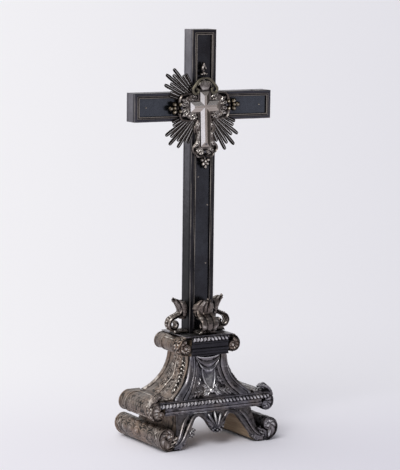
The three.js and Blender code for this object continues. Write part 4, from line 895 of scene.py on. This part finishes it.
def valanceHeights(x, w, form):
    look, top = valanceRelief, form["top"]
    left = x < 0
    x = np.abs(x)
    drawn = (look["arch"], look["second"], look["spray"])
    arch, second, spray = (curveThrough(np.array(points) * (1, top)) for points in drawn)
    h = ridge(x, w, arch, 7.2, 3.6, 0.5)
    h = np.maximum(h, ridge(x, w, second, 5.4, 2.6, 0.4))
    eye = (look["eye"][0], look["eye"][1] * top)
    h = np.maximum(h, ridge(x, w, spiralLine(eye, 5.6, 40, 560, 0.6), 3.6, 3.4, 0.5))
    # blades of the shell in the middle
    for i in range(look["blades"]):
        lean, size, foot, root = look["bladeTurn"] * i, 21 - 1.6 * i, 0.8 * i, look["bladeRoot"] * top
        blade = [(foot, root), (foot + 0.4 * size * math.sin(lean), root + 0.42 * size),
                 (foot + size * math.sin(lean) * 0.92, root + size * math.cos(0.7 * lean))]
        h = np.maximum(h, ridge(x, w, curveThrough(blade, 8), 5.2, 4.0 - 0.25 * i, 0.5, 0.7))
    # petals round the shell's heart
    heart = look["heart"] * top
    for i in range(look["petals"]):
        turn = math.radians(look["petalTurn"] * i - 90)
        petal = (6.4 * abs(math.cos(turn)), heart + 2.6 * math.sin(turn))
        h = np.maximum(h, boss(x, w, petal, (2.2, 1.7), 2.6 + 0.5 * (i % 2)))
    h = np.maximum(h, boss(x, w, (0, heart), (2, 2), 3.6))
    h = np.maximum(h, leafRidge(x, w, curveThrough(look["toeLeaf"]), 9.5, 3.4, 4))
    h = np.maximum(h, np.where(left, 0, leafRidge(x, w, spray, 5, 1.3, 4)))
    # nothing stands out past the foot of the leaning sheet
    return np.minimum(h, (0.2 + w * math.sin(form["lean"])) / math.cos(form["lean"]))


def onValance(form, x, w, forward=0.0):
    return placeOf(x, form["out"] + forward + w * math.sin(form["lean"]), w * math.cos(form["lean"]))


def makeValance(form):
    lower, upper = (resample(edge, 200) for edge in valanceEdges(form))
    v = np.linspace(0, 1, 90)
    shells = []
    for side in (1, -1):
        x = side * (lower[:, :1] + (upper[:, :1] - lower[:, :1]) * v)
        w = lower[:, 1:] + (upper[:, 1:] - lower[:, 1:]) * v
        h = valanceHeights(x, w, form)
        shells.append(gridShell(onValance(form, x, w), h, form["thickness"], outward=side, gain=0.52))
    # leaf that turns into the left arch
    x, w = gridOf(np.linspace(-43, -28, 60), np.linspace(14, 32, 60))
    h = leafRidge(x, w, curveThrough(leftLeaf), 9, 3.2, 4)
    shells += trimmedShell(onValance(form, x, w, 0.4), h, h > 0.05, 1.2)
    addPiece("valanceRelief", shells, "tarnishedSilver", "front_valance")


makeValance(valance)
print("valance made")

# brackets at the foot of the cross: an S-shaped band under a fanned acanthus leaf
bracketForm = {
    "height": 45, "scrollRadius": 8.5, "decay": 0.62, "thickness": 5.4, "sunk": 1.6, "base": 137.6,
    "lead": [(0.4, 0.84), (0.27, 0.68), (0.36, 0.54)], "leafTurn": 0.72, "pad": 3.2,
    "side": {"reach": 28, "leaf": 19, "band": 15, "from": 17.05, "beads": 1.1},
    "front": {"reach": 24, "leaf": 31, "band": 27, "from": 10.6, "beads": 0.0},
}


# local places of a bracket: u outwards from the cross, v across, z up from the bracket's foot
def bracketBand(form, sizes):
    reach, half, radius = sizes["reach"], form["thickness"] / 2, form["scrollRadius"]
    eye = (reach - half - 0.8 * radius, half + 0.9 * radius + 1)
    coil = spiralLine(eye, radius, 81, -306, form["decay"], 50)
    lead = np.array(form["lead"]) * (reach, form["height"])
    line = resample(np.vstack([curveThrough(np.vstack([lead, coil[:1]]), 12)[:-1], coil]), 130)
    travelled = measured(line) / measured(line)[-1]
    v = np.linspace(-1, 1, 46)
    width = sizes["band"] / 2 * (0.72 + 0.28 * np.sin(math.pi * np.clip(travelled * 1.15, 0, 1)))
    across = width[:, None] * v
    s = np.broadcast_to(travelled[:, None] * 60, across.shape)
    edge = np.clip((1 - np.abs(v)) * 9, 0, 1)[None] ** 0.5
    ribs = 1.3 * np.abs(np.cos(1.5 * math.pi * v))[None] ** 0.7 + 0.25
    beads = sizes["beads"] * np.clip(np.sin(s * 2.2), 0, 1) * bell(v, 0.14)
    scales = 0.3 * np.abs(np.sin(s * 0.5 + 2.2 * np.abs(v)))
    rounding = -1.4 * np.abs(v)[None] ** 4
    outer = offset(line, half - form["sunk"])
    return gridShell(placeOf(outer[:, :1], across, outer[:, 1:]), (ribs + beads + scales) * edge + rounding,
                     form["thickness"] - 2 * form["sunk"], backHeights=0.9 * edge * ribs + rounding, gain=0.9)


def bracketLeaf(form, sizes):
    # leaf, ribbed from its root, with a notched edge that rolls forward at the top
    reach, turned = sizes["reach"], form["leafTurn"]
    s, t = gridOf(np.linspace(-1, 1, 91), np.linspace(0, 1, 80))
    lobes = np.cos(3.5 * math.pi * s)
    tip = np.where(t > turned, 1 - (t - turned) * 1.5, 1)
    swell = 0.42 + 0.6 * np.sin(math.pi * (0.08 + 0.62 * t))
    notch = 1 - 0.1 * np.abs(np.sin(5 * math.pi * t)) * np.clip(t * 3, 0, 1)
    flare = (0.34 + 0.36 * t ** 3) * reach
    cup = (flare - 0.1 * reach) * np.abs(s) ** 2.2
    rise = 0.40 + (0.565 - 0.05 * s ** 2) * t * (1 + 0.05 * lobes * t)
    place = placeOf(flare - cup, sizes["leaf"] / 2 * swell * tip * notch * s, rise * form["height"])
    veins = np.abs(np.cos(2.5 * math.pi * np.sign(s) * np.abs(s) ** 0.9)) ** 0.7
    veins = 2.0 * veins * np.clip(t * 4, 0.2, 1)
    fine = 0.25 * np.abs(np.sin(10 * math.pi * s)) * t
    sunk = -1.0 * bell(s, 0.06) * np.clip(1 - t, 0, 1)
    return gridShell(place, veins + fine + sunk, 1.3, backHeights=0.3 * veins, gain=0.9)


def bracketPad(form, sizes):
    # pad on the cap, with a leaf rolled over it
    end = 0.72 * sizes["reach"]
    p, q = gridOf(np.linspace(0.35, end, 40), np.linspace(-1, 1, 40))
    pad = form["pad"] * np.clip(1 - q ** 6, 0, 1) * np.clip((end - p) / 1.5, 0, 1) ** 0.5
    flutes = 0.7 * np.abs(np.cos(3 * math.pi * q)) + 0.3 * np.abs(np.sin(p * 1.3))
    return gridShell(placeOf(p, q * sizes["band"] / 2, 0.35), pad + flutes * (pad > 1), 0.3, gain=0.8)


def placeBracket(shells, turn, distance, base):
    c, s = math.cos(turn), math.sin(turn)
    placed = []
    for points, faces, worn in shells:
        u, v, z = points.T
        u = np.maximum(u, 0.32) + distance
        placed.append((np.stack([c * u - s * v, s * u + c * v, z + base], 1), faces, worn))
    return placed


bracketTurns = {"right": ("side", 0), "left": ("side", math.pi), "front": ("front", -math.pi / 2)}


def makeBrackets(form):
    for name, (kind, turn) in bracketTurns.items():
        sizes = form[kind]
        shells = [bracketBand(form, sizes), bracketLeaf(form, sizes), bracketPad(form, sizes)]
        placed = placeBracket(shells, turn, sizes["from"], form["base"])
        addPiece(f"acanthusBracket_{name}", placed, "leafSilver", f"bracket_{name}")


makeBrackets(bracketForm)
print("brackets made")

# relic frame: everything is drawn round the crossing, leaning a little to the left
relicPlace = {"shift": -1.6, "front": -10.6, "centre": 424.5, "tilt": math.radians(-1.8)}
rayBack = 0.3
frameBack = 2.1
hoodBack = 5.0


def onCross(points):
    # from places drawn round the crossing to places in the shared frame
    x, y, z = points[..., 0], points[..., 1], points[..., 2]
    c, s = math.cos(relicPlace["tilt"]), math.sin(relicPlace["tilt"])
    across, up = c * x + s * z, c * z - s * x
    return placeOf(across + relicPlace["shift"], y + relicPlace["front"], up + relicPlace["centre"])


def flatFace(base):
    return lambda x, z, h: onCross(placeOf(x, -base - h, z))


# rays of cut sheet, each with a folded ridge rubbed bright and partly painted highlight; the lengths step up
# and down across a group
rayGroups = {
    "upper_left": {"middle": 141, "spread": 42},
    "lower_left": {"middle": -138, "spread": 42},
    "lower_right": {"middle": -49, "spread": 48},
}
rayLook = {
    "count": 9, "root": 17, "long": 69, "short": 51, "width": 5.0, "webEnd": 33, "webFace": 0.3, "gap": 0.48,
    "step": (0.95, 0.84, 1, 0.88, 0.98, 0.83, 0.97, 0.87, 1),
    # painted highlight on each ray's ridge, brighter on some rays than on others
    "rubbed": (0.7, 0.95, 0.78, 1, 0.72, 1, 0.78, 0.95, 0.7),
}
# share of a ray's length, and of its width there
rayTaper = np.array([(0, 1), (0.2, 1), (0.4, 1), (0.6, 1), (0.8, 1), (0.92, 0.96), (0.97, 0.82), (1, 0.5)])
# section across a ray: share of its half width, height and wear, the bright ridge partly painted highlight
raySection = np.array([(-1, 0, 0), (-1, 0.5, 0.6), (-0.7, 0.55, 0.32), (-0.24, 0.7, 0.2), (-0.13, 1.4, 1),
                       (0.13, 1.4, 1), (0.24, 0.7, 0.2), (0.7, 0.55, 0.32), (1, 0.5, 0.6), (1, 0, 0)])


def rayShell(face, angle, length, halfAngle, rubbed):
    along = rayTaper[:, 0]
    r = rayLook["root"] + (length - rayLook["root"]) * along
    half = np.minimum(rayLook["width"] / 2, halfAngle * r) * rayTaper[:, 1]
    u = half[:, None] * raySection[:, 0]
    h = raySection[:, 1] * (0.7 + 0.3 * along)[:, None]
    worn = np.broadcast_to(rubbed * raySection[:, 2], u.shape)
    x = r[:, None] * math.cos(angle) - u * math.sin(angle)
    z = r[:, None] * math.sin(angle) + u * math.cos(angle)
    index = np.arange(u.size).reshape(u.shape)
    after = np.roll(index, -1, axis=1)
    faces = np.stack([index[:-1], after[:-1], after[1:], index[1:]], -1).reshape(-1, 4)
    ends = [index[0][::-1].tolist(), index[-1].tolist()]
    return face(x, z, h).reshape(-1, 3), faces.tolist() + ends, worn.ravel()


def makeRays():
    face, look, count = flatFace(rayBack), rayLook, rayLook["count"]
    for name, form in rayGroups.items():
        span, centre = math.radians(form["spread"]), math.radians(form["middle"])
        halfAngle = look["gap"] * span / (count - 1)
        shells = []
        for i in range(count):
            share = i / (count - 1) - 0.5
            length = (look["long"] - (look["long"] - look["short"]) * (2 * share) ** 2) * look["step"][i]
            shells.append(rayShell(face, centre + span * share, length, halfAngle, look["rubbed"][i]))
        # web that holds the rays together
        bounds = np.linspace(centre + span / 2, centre - span / 2, 30)
        r, turn = gridOf(np.linspace(look["root"], look["webEnd"], 12), bounds)
        place = face(r * np.cos(turn), r * np.sin(turn), look["webFace"])
        shells.append(gridShell(place, np.zeros(r.shape), 0.25))
        addPiece(f"raySheaf_{name}", shells, "oxidisedSilver", f"rays_{name}", 20)


makeRays()
print("rays made")

# frame: a shaped sheet full of leaves, with a rim round the case and paired scrolls laid over it
frameLook = {
    "relief": 2.6, "sheet": 0.8, "rim": 9.3, "rib": [(0, 20.5), (0, 37.0)],
    "edge": [(8.3, 17.5), (15.3, 17.5), (29, 16.5), (36, 12), (38, 4), (38, -4), (36, -12), (29, -16.5),
             (15.3, -17.5), (12.3, -24), (11.3, -37), (16.8, -50), (16.3, -57), (4, -61.5)],
    "lobeLeaves": [[(10, 11), (16, 13), (22, 15.2)], [(11, 7), (18, 9), (25, 12.5)],
                   [(22, 3), (27, 8), (33, 11)], [(22, 1), (29, 3), (36, 5)]],
    "skirtLeaves": [[(8, -19), (10.5, -23), (10.2, -29)], [(8, -30), (10, -35), (9, -41)],
                    [(8, -42), (11, -46), (14.5, -51)], [(3, -53), (8, -54), (14, -56)],
                    [(2, -55), (5, -58), (9, -60)]],
}


def caseLine(grow):
    w, a = 6.5 + grow, 20.9 + grow
    return [(w, -50.8 - grow), (w, -w), (a, -w), (a, w), (w, w), (w, 18.7 + grow),
            (-w, 18.7 + grow), (-w, w), (-a, w), (-a, -w), (-w, -w), (-w, -50.8 - grow)]


def ringShell(face, low, high, thickness, edge, profile, perSide=14):
    # strip that follows the outline of the cross-shaped case between two insets
    grow = np.linspace(low, high, edge)
    lines = np.array([caseLine(g) for g in grow])
    after = np.roll(lines, -1, axis=1)
    t = np.linspace(0, 1, perSide, False)
    strip = lines[:, :, None] * (1 - t)[None, None, :, None] + after[:, :, None] * t[None, None, :, None]
    strip = strip.reshape(edge, -1, 2).transpose(1, 0, 2)
    h = np.broadcast_to(profile(np.linspace(0, 1, edge))[None], strip.shape[:2])
    place = face(strip[..., 0], strip[..., 1], thickness)
    return gridShell(place, h, thickness - 0.05, outward=-1, wrap=True, passes=4)


def frameLines(edge):
    # scrolls and leaves over the right half: line, width and share of the relief
    lines = []
    for rise in (1, -1):
        lobe = [(edge - 1, 15 if rise > 0 else 17), (edge + 5, 16), (edge + 12, 17)]
        outer = lobe + spiralLine((29, 7.6), 8, 75.6, -414, 0.5, 30).tolist()
        inner = spiralLine((edge + 7, edge + 2.6), 4, -90, 396, 0.6, 26)
        leaf = [(edge + 10, 13.5), (edge + 14.5, 11.5), (edge + 17, 7.5)]
        for line, width, share in ((outer, 2.6, 0.85), (inner, 2.3, 0.85), (leaf, 3.4, 0.8)):
            lines.append((np.array(line) * (1, rise), width, share))
    skirt = [(edge - 1, -16), (edge + 3.5, -24), (edge + 1, -36), (edge + 2.5, -44)]
    skirt += spiralLine((edge + 3, -54), 6.5, 60, -378, 0.55, 28).tolist()
    inSkirt = [(edge + 1, -20), (edge + 5.5, -27), (edge + 4.5, -33)]
    foot = [(1, -61.4), (5, -63), (edge + 1, -62.5), (edge + 4, -59)]
    return lines + [(np.array(skirt), 3.2, 1.0), (np.array(inSkirt), 2.6, 0.7), (np.array(foot), 2.8, 0.9)]


def insideLine(x, z, line):
    # even-odd test against a closed outline
    inside = np.zeros(x.shape, bool)
    for (x0, z0), (x1, z1) in zip(line, line[1:] + line[:1]):
        if z0 != z1:
            inside ^= ((z0 > z) != (z1 > z)) & (x < (x1 - x0) * (z - z0) / (z1 - z0) + x0)
    return inside


def frameSheet():
    x, z = gridOf(np.arange(-39, 39.1, 0.42), np.arange(-62.5, 18.6, 0.42))
    rightEdge = curveThrough(frameLook["edge"], 6).tolist()
    edge = rightEdge + [[-a, b] for a, b in reversed(rightEdge)]
    kept = insideLine(x, z, edge) & ~insideLine(x, z, caseLine(0.4))
    side = np.abs(x)
    h = ridge(side, z, rightEdge, 2.4, 0.9, 0.9) * (0.7 + 0.3 * np.sin(0.9 * (side + np.abs(z))))
    for points in frameLook["lobeLeaves"]:
        h = np.maximum(h, leafRidge(side, np.abs(z), curveThrough(points, 8), 5.4, 2.4, 3))
    for points in frameLook["skirtLeaves"]:
        h = np.maximum(h, leafRidge(side, z, curveThrough(points, 8), 5.0, 2.3, 3))
    place = flatFace(frameBack)(x, z, frameLook["sheet"])
    polish = np.where(h < 0.25, -0.28, 0.12 * h - 0.1)
    return trimmedShell(place, h, kept, frameLook["sheet"] - 0.05, polish=polish)


def makeFrame():
    face = flatFace(frameBack)
    rim = lambda v: 0.9 * np.sin(math.pi * v) ** 0.5 - 0.5 * bell(v - 0.5, 0.16)
    shells = frameSheet() + [ringShell(face, 0.4, 3.0, 1.1, 7, rim)]
    for line, width, share in frameLines(frameLook["rim"]):
        for side in (1, -1):
            path = resample(curveThrough(line * (side, 1), 6), 60)
            shells.append(sweep(face, path, width, frameLook["relief"] * share, 0.45, 9, 0.3))
    shells.append(sweep(face, resample(np.array(frameLook["rib"]), 20), 4.2, 1.4, 0.8, 7))
    addPiece("scrollFrame", shells, "leafSilver", "cartouche_frame", 50)


hoodLook = {
    "arch": [(0.3, 35.6), (6, 34.4), (12, 29.5)], "eye": (12.4, 20.4), "radius": 5.4,
    "brow": [(1.5, 31.8), (6.5, 30.6), (10, 26.5)],
}


def makeHood(look):
    face = flatFace(hoodBack)
    arches, shell = [], []
    for side in (1, -1):
        arch = sided(look["arch"] + spiralLine(look["eye"], look["radius"], 30, -324, 0.6, 26).tolist(), side)
        arches.append(sweep(face, resample(curveThrough(arch, 6), 70), 3.8, 2.6, 0.5, 11, 0.35))
        brow = sided(look["brow"], side)
        arches.append(sweep(face, resample(curveThrough(brow, 8), 24), 1.4, 1.9, 0.5, 7))
    for i in range(-2, 3):
        flute = curveThrough([(1.2 * i, 20.6), (2.6 * i, 25.6), (4 * i, 33.2 - 0.9 * abs(i))], 8)
        shell.append(sweep(face, flute, 4.0, 2.2, 0.55, 9, 0.1))
    addPiece("hoodArches", arches, "wornGilding", "cartouche_hood", 50)
    addPiece("hoodShell", shell, "leafSilver", "cartouche_hood", 50)


# cover of the relic case: bright bevels round a flat brown middle
coverLook = {
    "back": 4.6, "lip": 0.6, "rise": 1.8, "bevel": 4.9, "middle": 6.49, "steps": 40,
    # one number for each of the outline's 12 sides: how much painted shade darkens its bevel
    "bevelShade": (0.72, 0.35, 0.6, 0.15, 0.72, 0.25, 0.1, 0.15, 0, 0.35, 0, 0.5),
}


def makeCover(look):
    flat, steps = 1 - look["bevel"] / look["middle"], look["steps"]
    profile = lambda v: look["rise"] * np.clip((1 - v) / (1 - flat), 0, 1)
    points, faces, _ = ringShell(flatFace(look["back"]), -look["middle"], 0, look["lip"], steps, profile, 20)
    v = np.tile(np.linspace(0, 1, steps), len(points) // (2 * steps))
    # painted shade: the bevels on the sides that face right and down are darkened
    bevelShade = np.repeat(look["bevelShade"], len(points) // (2 * len(look["bevelShade"]))) * (v > flat)
    worn = 0.42 + 0.46 * (v > flat) + 0.2 * bell(v - flat, 0.05) - bevelShade
    worn = np.clip(np.concatenate([worn, worn]), 0, 1)
    addPiece("coverPlate", [(points, faces, worn)], "polishedSilver", "case_cover", 25)


def petalShell(face, centre, radii, height, turn, ribs):
    # domed petal with ribs, flat underneath
    a, r = gridOf(np.linspace(0, 2 * math.pi, 40, False), np.linspace(0.06, 1, 12))
    x, z = radii[0] * r * np.cos(a), radii[1] * r * np.sin(a)
    c, s = math.cos(turn), math.sin(turn)
    dome = height * domed(r) * (1 - 0.28 * np.abs(np.sin(ribs * a + 0.4)) * r)
    place = face(centre[0] + c * x - s * z, centre[1] + s * x + c * z, 0.25)
    worn = np.clip(0.04 + 0.86 * (dome / height) ** 2.6, 0, 1).ravel()
    points, faces, _ = gridShell(place, dome, 0.2, outward=-1, wrap=True)
    return points, faces, np.concatenate([worn, worn * 0.2])


# petals of each flower: centre across and up, half sizes, height, turn and ribs
flowerForm = {
    "trefoilRoot": 39.6,
    "trefoil": [(3.2, 4.6, 4.3, 3.5, 4.0, 0.5, 3), (3.2, -4.6, 4.3, 3.5, 4.0, -0.5, 3),
                (8.8, 0, 4.4, 3.5, 4.0, 0, 3), (3.4, 0, 3.3, 3.1, 4.6, 0, 5),
                (-4.5, 4.4, 3.6, 2.9, 4.6, -0.6, 3), (-4.5, -4.4, 3.6, 2.9, 4.6, 0.6, 3)],
    "finial": [(0, 41.2, 3.2, 2.8, 3.9, 0, 4), (0, 51.2, 2.4, 4.4, 3.5, 0, 2),
               (3.3, 40.2, 2.4, 1.8, 3.2, 0.5, 3), (-3.3, 40.2, 2.4, 1.8, 3.2, -0.5, 3),
               (2.2, 48.2, 1.5, 3.6, 3.2, 0.25, 2), (-2.2, 48.2, 1.5, 3.6, 3.2, -0.25, 2)],
    "pendant": [(*place, 3.1, 2.5, 3.1, math.atan2(place[1] + 69, place[0]), 3)
                for place in ((-4.4, -67.3), (4.4, -67.3), (-3, -72), (3, -72), (0, -75.8))],
    "pendantHeart": (0, -68.9, 2.3, 2.3, 4, 0, 5),
    "finialStem": [(0, 37.8), (0, 49.0)], "pendantStem": [(0, -63.4), (0, -73.0)],
}


def makeFlowers(form):
    face = flatFace(frameBack)

    def petals(table, side=1, root=0):
        return [petalShell(face, (side * (root + out), up), (wide, tall), height, side * turn, ribs)
                for out, up, wide, tall, height, turn, ribs in table]

    def stem(line, count, width):
        return sweep(face, resample(np.array(line), count), width, 1.4, 0.8, 7)

    for name, side in (("right", 1), ("left", -1)):
        shells = petals(form["trefoil"], side, form["trefoilRoot"])
        addPiece(f"trefoilRelief_{name}", shells, "warmGilding", f"trefoil_{name}", 60)
    shells = petals(form["finial"]) + [stem(form["finialStem"], 12, 3.0)]
    addPiece("budFinial", shells, "leafSilver", "finial", 60)
    shells = petals([*form["pendant"], form["pendantHeart"]]) + [stem(form["pendantStem"], 10, 2.6)]
    addPiece("pendantRelief", shells, "leafSilver", "pendant_flower", 60)


makeFrame()
makeHood(hoodLook)
makeCover(coverLook)
makeFlowers(flowerForm)
print("relic frame made")

# cross: a border of thin sheet with two raised lines, and a side band with fine lines near the front
crossForm = {
    "width": 34.1, "arm": 35.7, "span": 197.2, "centre": 424.5, "foot": 137.6, "top": 520.0,
    "border": 6.8, "borderFace": -10.1, "borderSheet": 1.0, "bandFront": -8.8, "bandBack": 9.3, "sheet": 0.9,
    # raised lines: inset, half width, height, brightness
    "lines": ((6.0, 0.62, 0.7, 0.95), (4.0, 0.5, 0.5, 0.8)),
    # fine lines of the side band by their place behind its front edge, and the solder lump on it
    "grooves": (1.5, 2.7, 16.2), "lump": (74, -4),
}


def crossLine(form, inset, footInset):
    w, a = form["width"] / 2 - inset, form["span"] / 2 - inset
    low, high = form["centre"] - form["arm"] / 2 + inset, form["centre"] + form["arm"] / 2 - inset
    top, foot = form["top"] - inset, form["foot"] + footInset
    return [(w, foot), (w, low), (a, low), (a, high), (w, high), (w, top),
            (-w, top), (-w, high), (-a, high), (-a, low), (-w, low), (-w, foot)]


def upCross(form, z):
    return np.clip((z - form["foot"]) / (form["top"] - form["foot"]), 0, 1)


def alongSides(corners, steps, closed):
    # evenly spaced points on each side of the outline
    after = np.roll(corners, -1, axis=1) if closed else corners[:, 1:]
    before = corners if closed else corners[:, :-1]
    t = np.linspace(0, 1, steps, False)[None, None, :, None]
    line = (before[:, :, None] * (1 - t) + after[:, :, None] * t).reshape(len(corners), -1, 2)
    return line if closed else np.concatenate([line, corners[:, -1:]], 1)


def makeBorder(form):
    inset = np.linspace(0.02, form["border"], 48)
    corners = np.array([crossLine(form, i, i) for i in inset])
    line = alongSides(corners, 22, True).transpose(1, 0, 2)
    x, z = line[..., 0], line[..., 1]
    v = np.broadcast_to(inset[None], x.shape)
    # hammered unevenness and rounded outer edge
    dents = 0.07 * np.sin(0.31 * x + 0.17 * z) * np.sin(0.23 * z - 0.11 * x + 1)
    h = dents - 0.35 * np.clip(1 - v / 0.8, 0, 1) ** 2
    streaks = 0.5 + 0.5 * np.sin(0.11 * z + 0.07 * x) * np.sin(0.05 * z - 0.09 * x + 2)
    # painted highlight: a paler streaky line along the rounded outer edge
    worn = 0.4 + 0.08 * streaks + (0.2 + 0.25 * streaks) * bell(v, 0.7)
    for at, half, height, bright in form["lines"]:
        bead = domed((v - at) / half)
        h = h + height * bead * 0.9
        # painted light: the raised lines are brighter towards the top
        rubbed = 0.7 + 0.3 * upCross(form, z) + 0.08 * np.sin(0.083 * z + at)
        worn = np.where(bead > 0.3, bright * rubbed, worn)
        worn = np.where((np.abs(v - at) > half) & (np.abs(v - at) < half + 0.35), 0.08, worn)
    points, faces, _ = gridShell(placeOf(x, form["borderFace"], z), h, form["borderSheet"], wrap=True)
    worn = np.concatenate([worn.ravel(), np.full(worn.size, 0.2)])
    addPiece("crossBorderSheet", [(points, faces, worn)], "blackenedSilver", "cross_border")


def makeSideBand(form):
    line = alongSides(np.array([crossLine(form, 0, 0)]), 26, False)[0]
    depths = np.linspace(form["bandFront"], form["bandBack"], 44)
    x, y, z = np.broadcast_arrays(line[:, :1], depths, line[:, 1:])
    grooves = sum(bell(y - form["bandFront"] - at, 0.28) for at in form["grooves"])
    h = -0.35 * grooves + 0.05 * np.sin(0.21 * z + 0.3 * x) * np.sin(0.4 * y)
    # painted light and shade: paler towards the top and darker low down, with the fine grooves darker
    worn = 0.12 + 0.56 * upCross(form, z) ** 1.8 + np.where(h < -0.1, -0.3, 0)
    # solder lump on top of the right arm
    onArm = z > form["centre"] + form["arm"] / 2 - 1
    lump = np.exp(-((x - form["lump"][0]) / 1.8) ** 2 - ((y - form["lump"][1]) / 2.2) ** 2) * onArm
    points, faces, _ = gridShell(placeOf(x, y, z), h - 0.05 + 1.3 * lump, form["sheet"], outward=-1)
    worn = np.concatenate([worn.ravel(), np.full(worn.size, 0.3)])
    addPiece("crossSideSheet", [(points, faces, worn)], "greySilver", "cross_side_band")


makeBorder(crossForm)
makeSideBand(crossForm)
print("cross sheets made")

# leaves over the front ends of the middle rolls
cornerLeaf = {
    "eye": (77, 44.5), "radius": 18, "decay": 0.44, "centre": -35.55, "half": 8.5, "lift": 5, "sheet": 1.1,
}


def makeCornerLeaves(form):
    s, t = gridOf(np.linspace(-1, 1, 81), np.linspace(0, 1, 90))
    angle = math.pi * (0.58 - 0.38 * t)
    beyond = np.clip(math.pi / 2 - angle, 0, None)
    seat = form["radius"] * form["decay"] ** (beyond / math.pi) + 0.3 + form["sheet"]
    curl = form["lift"] * bell(t - 0.24, 0.26) * (1 - 0.5 * np.abs(s))
    r = seat + curl
    notch = 1 - 0.13 * np.abs(np.sin(4.5 * math.pi * t))
    half = form["half"] * (0.55 + 0.45 * np.sin(math.pi * np.minimum(1, t + 0.1))) * notch
    x, z = form["eye"][0] + r * np.cos(angle), form["eye"][1] + r * np.sin(angle)
    place = placeOf(x, form["centre"] + half * s, z)
    fan = 1.7 * np.abs(np.cos(3.5 * math.pi * s * (0.75 + 0.25 * t))) ** 0.7
    fine = 0.25 * np.abs(np.sin(12 * math.pi * s + 5 * t))
    shell = gridShell(place, fan + fine, form["sheet"], outward=-1, gain=1.0)
    addPair("cornerLeaf", [shell], "tarnishedSilver", "mid_leaf", "brownSilver")


makeCornerLeaves(cornerLeaf)
print("corner leaves made")

# floor, light and background
studio = {
    "floorRadius": 40, "floorSides": 96, "floorLevel": -0.0002,
    # the floor's right and near tones are painted shade
    "floorLeft": "#f9f8fb", "floorRightShade": "#eae9ef", "floorNearShade": "#f7f6fa",
    "floorSpan": (-0.09, 0.09), "nearEdge": (-0.2, 0.5), "fibre": 0.8,
    "worldLeft": "#ffffff", "worldRight": "#5d5c62", "worldSpan": (-0.35, 0.6),
    "worldFront": 0.85, "frontSpan": (-0.9, -0.1), "worldLight": 1.04,
    "keyStrength": 1.3, "keyAngle": 32, "keyFrom": (-0.75, -0.6, 0.9),
    "fillStrength": 0.14, "fillAngle": 60, "fillFrom": (0.9, -0.5, 0.5),
}
studioTurn = math.radians(cameraSetup["turn"])
studioRight = (math.cos(studioTurn), -math.sin(studioTurn), 0)
studioDeep = (math.sin(studioTurn), math.cos(studioTurn), 0)


def alongNode(tree, place, direction):
    return addNode(tree, "VectorMath", {1: direction}, {0: place}, operation="DOT_PRODUCT").outputs["Value"]


def makeFloor(setup):
    sides = setup["floorSides"]
    turns = np.linspace(0, 2 * math.pi, sides, False)
    rim = [Vector((math.cos(a), math.sin(a), 0)) * setup["floorRadius"] for a in turns]
    mesh = bpy.data.meshes.new("studioFloor")
    mesh.from_pydata(rim, [], [list(range(sides))])
    floor = bpy.data.objects.new("studioFloor", mesh)
    bpy.context.collection.objects.link(floor)
    floor.location.z = setup["floorLevel"]
    material, tree = newMaterial("pressedPaper")
    place = addNode(tree, "TexCoord").outputs["Object"]
    # painted shade: the paper's colour is darker to the right and near the front, standing in for light that
    # falls off; the tone to the right is worked out from the camera's turn and distance, so it belongs to
    # this camera alone
    side = alongNode(tree, place, studioRight)
    deep = alongNode(tree, place, studioDeep)
    away = mathNode(tree, "ADD", deep, cameraSetup["distance"])
    slant = mathNode(tree, "DIVIDE", side, away)
    share = mapNode(tree, slant, *setup["floorSpan"])
    across = mixNode(tree, share, setup["floorLeft"], setup["floorRightShade"])
    near = mapNode(tree, deep, *setup["nearEdge"], 1.0, 0.0, "SMOOTHSTEP")
    paper = mixNode(tree, near, across, setup["floorNearShade"], "MULTIPLY")
    fibre = noiseNode(tree, place, setup["fibre"], 3)
    bump = bumpNode(tree, fibre, 0.05, 0.0002)
    shader = addNode(tree, "BsdfDiffuse", links={"Color": paper, "Normal": bump})
    mesh.materials.append(closeMaterial(material, tree, shader))


def makeSun(name, strength, angle, direction):
    data = bpy.data.lights.new(name, "SUN")
    data.energy = strength
    data.angle = math.radians(angle)
    lamp = bpy.data.objects.new(name, data)
    bpy.context.collection.objects.link(lamp)
    lamp.rotation_mode = "QUATERNION"
    lamp.rotation_quaternion = Vector(direction).to_track_quat("Z", "Y")


def makeWorld(setup):
    # pale wall to the left and behind, dimmer to the right and behind the camera
    world = bpy.data.worlds.new("studioAir")
    bpy.context.scene.world = world
    world.use_nodes = True
    tree = world.node_tree
    tree.nodes.clear()
    direction = addNode(tree, "TexCoord").outputs["Generated"]
    aside = alongNode(tree, direction, studioRight)
    share = mapNode(tree, aside, *setup["worldSpan"], curve="SMOOTHSTEP")
    wall = mixNode(tree, share, setup["worldLeft"], setup["worldRight"])
    deep = alongNode(tree, direction, studioDeep)
    dim = mapNode(tree, deep, *setup["frontSpan"], setup["worldFront"], 1.0, "SMOOTHSTEP")
    path = addNode(tree, "LightPath").outputs
    seen = mathNode(tree, "MAXIMUM", path["Is Camera Ray"], path["Is Glossy Ray"])
    through = mathNode(tree, "MAXIMUM", seen, path["Is Transmission Ray"])
    strength = mapNode(tree, through, 0.0, 1.0, setup["worldLight"], 1.0)
    level = mathNode(tree, "MULTIPLY", strength, dim)
    shade = addNode(tree, "Background", links={"Color": wall, "Strength": level})
    addNode(tree, "OutputWorld", links={"Surface": shade.outputs[0]})


makeFloor(studio)
for lamp in ("key", "fill"):
    makeSun(f"{lamp}Light", studio[f"{lamp}Strength"], studio[f"{lamp}Angle"], studio[f"{lamp}From"])
makeWorld(studio)
print("studio made")
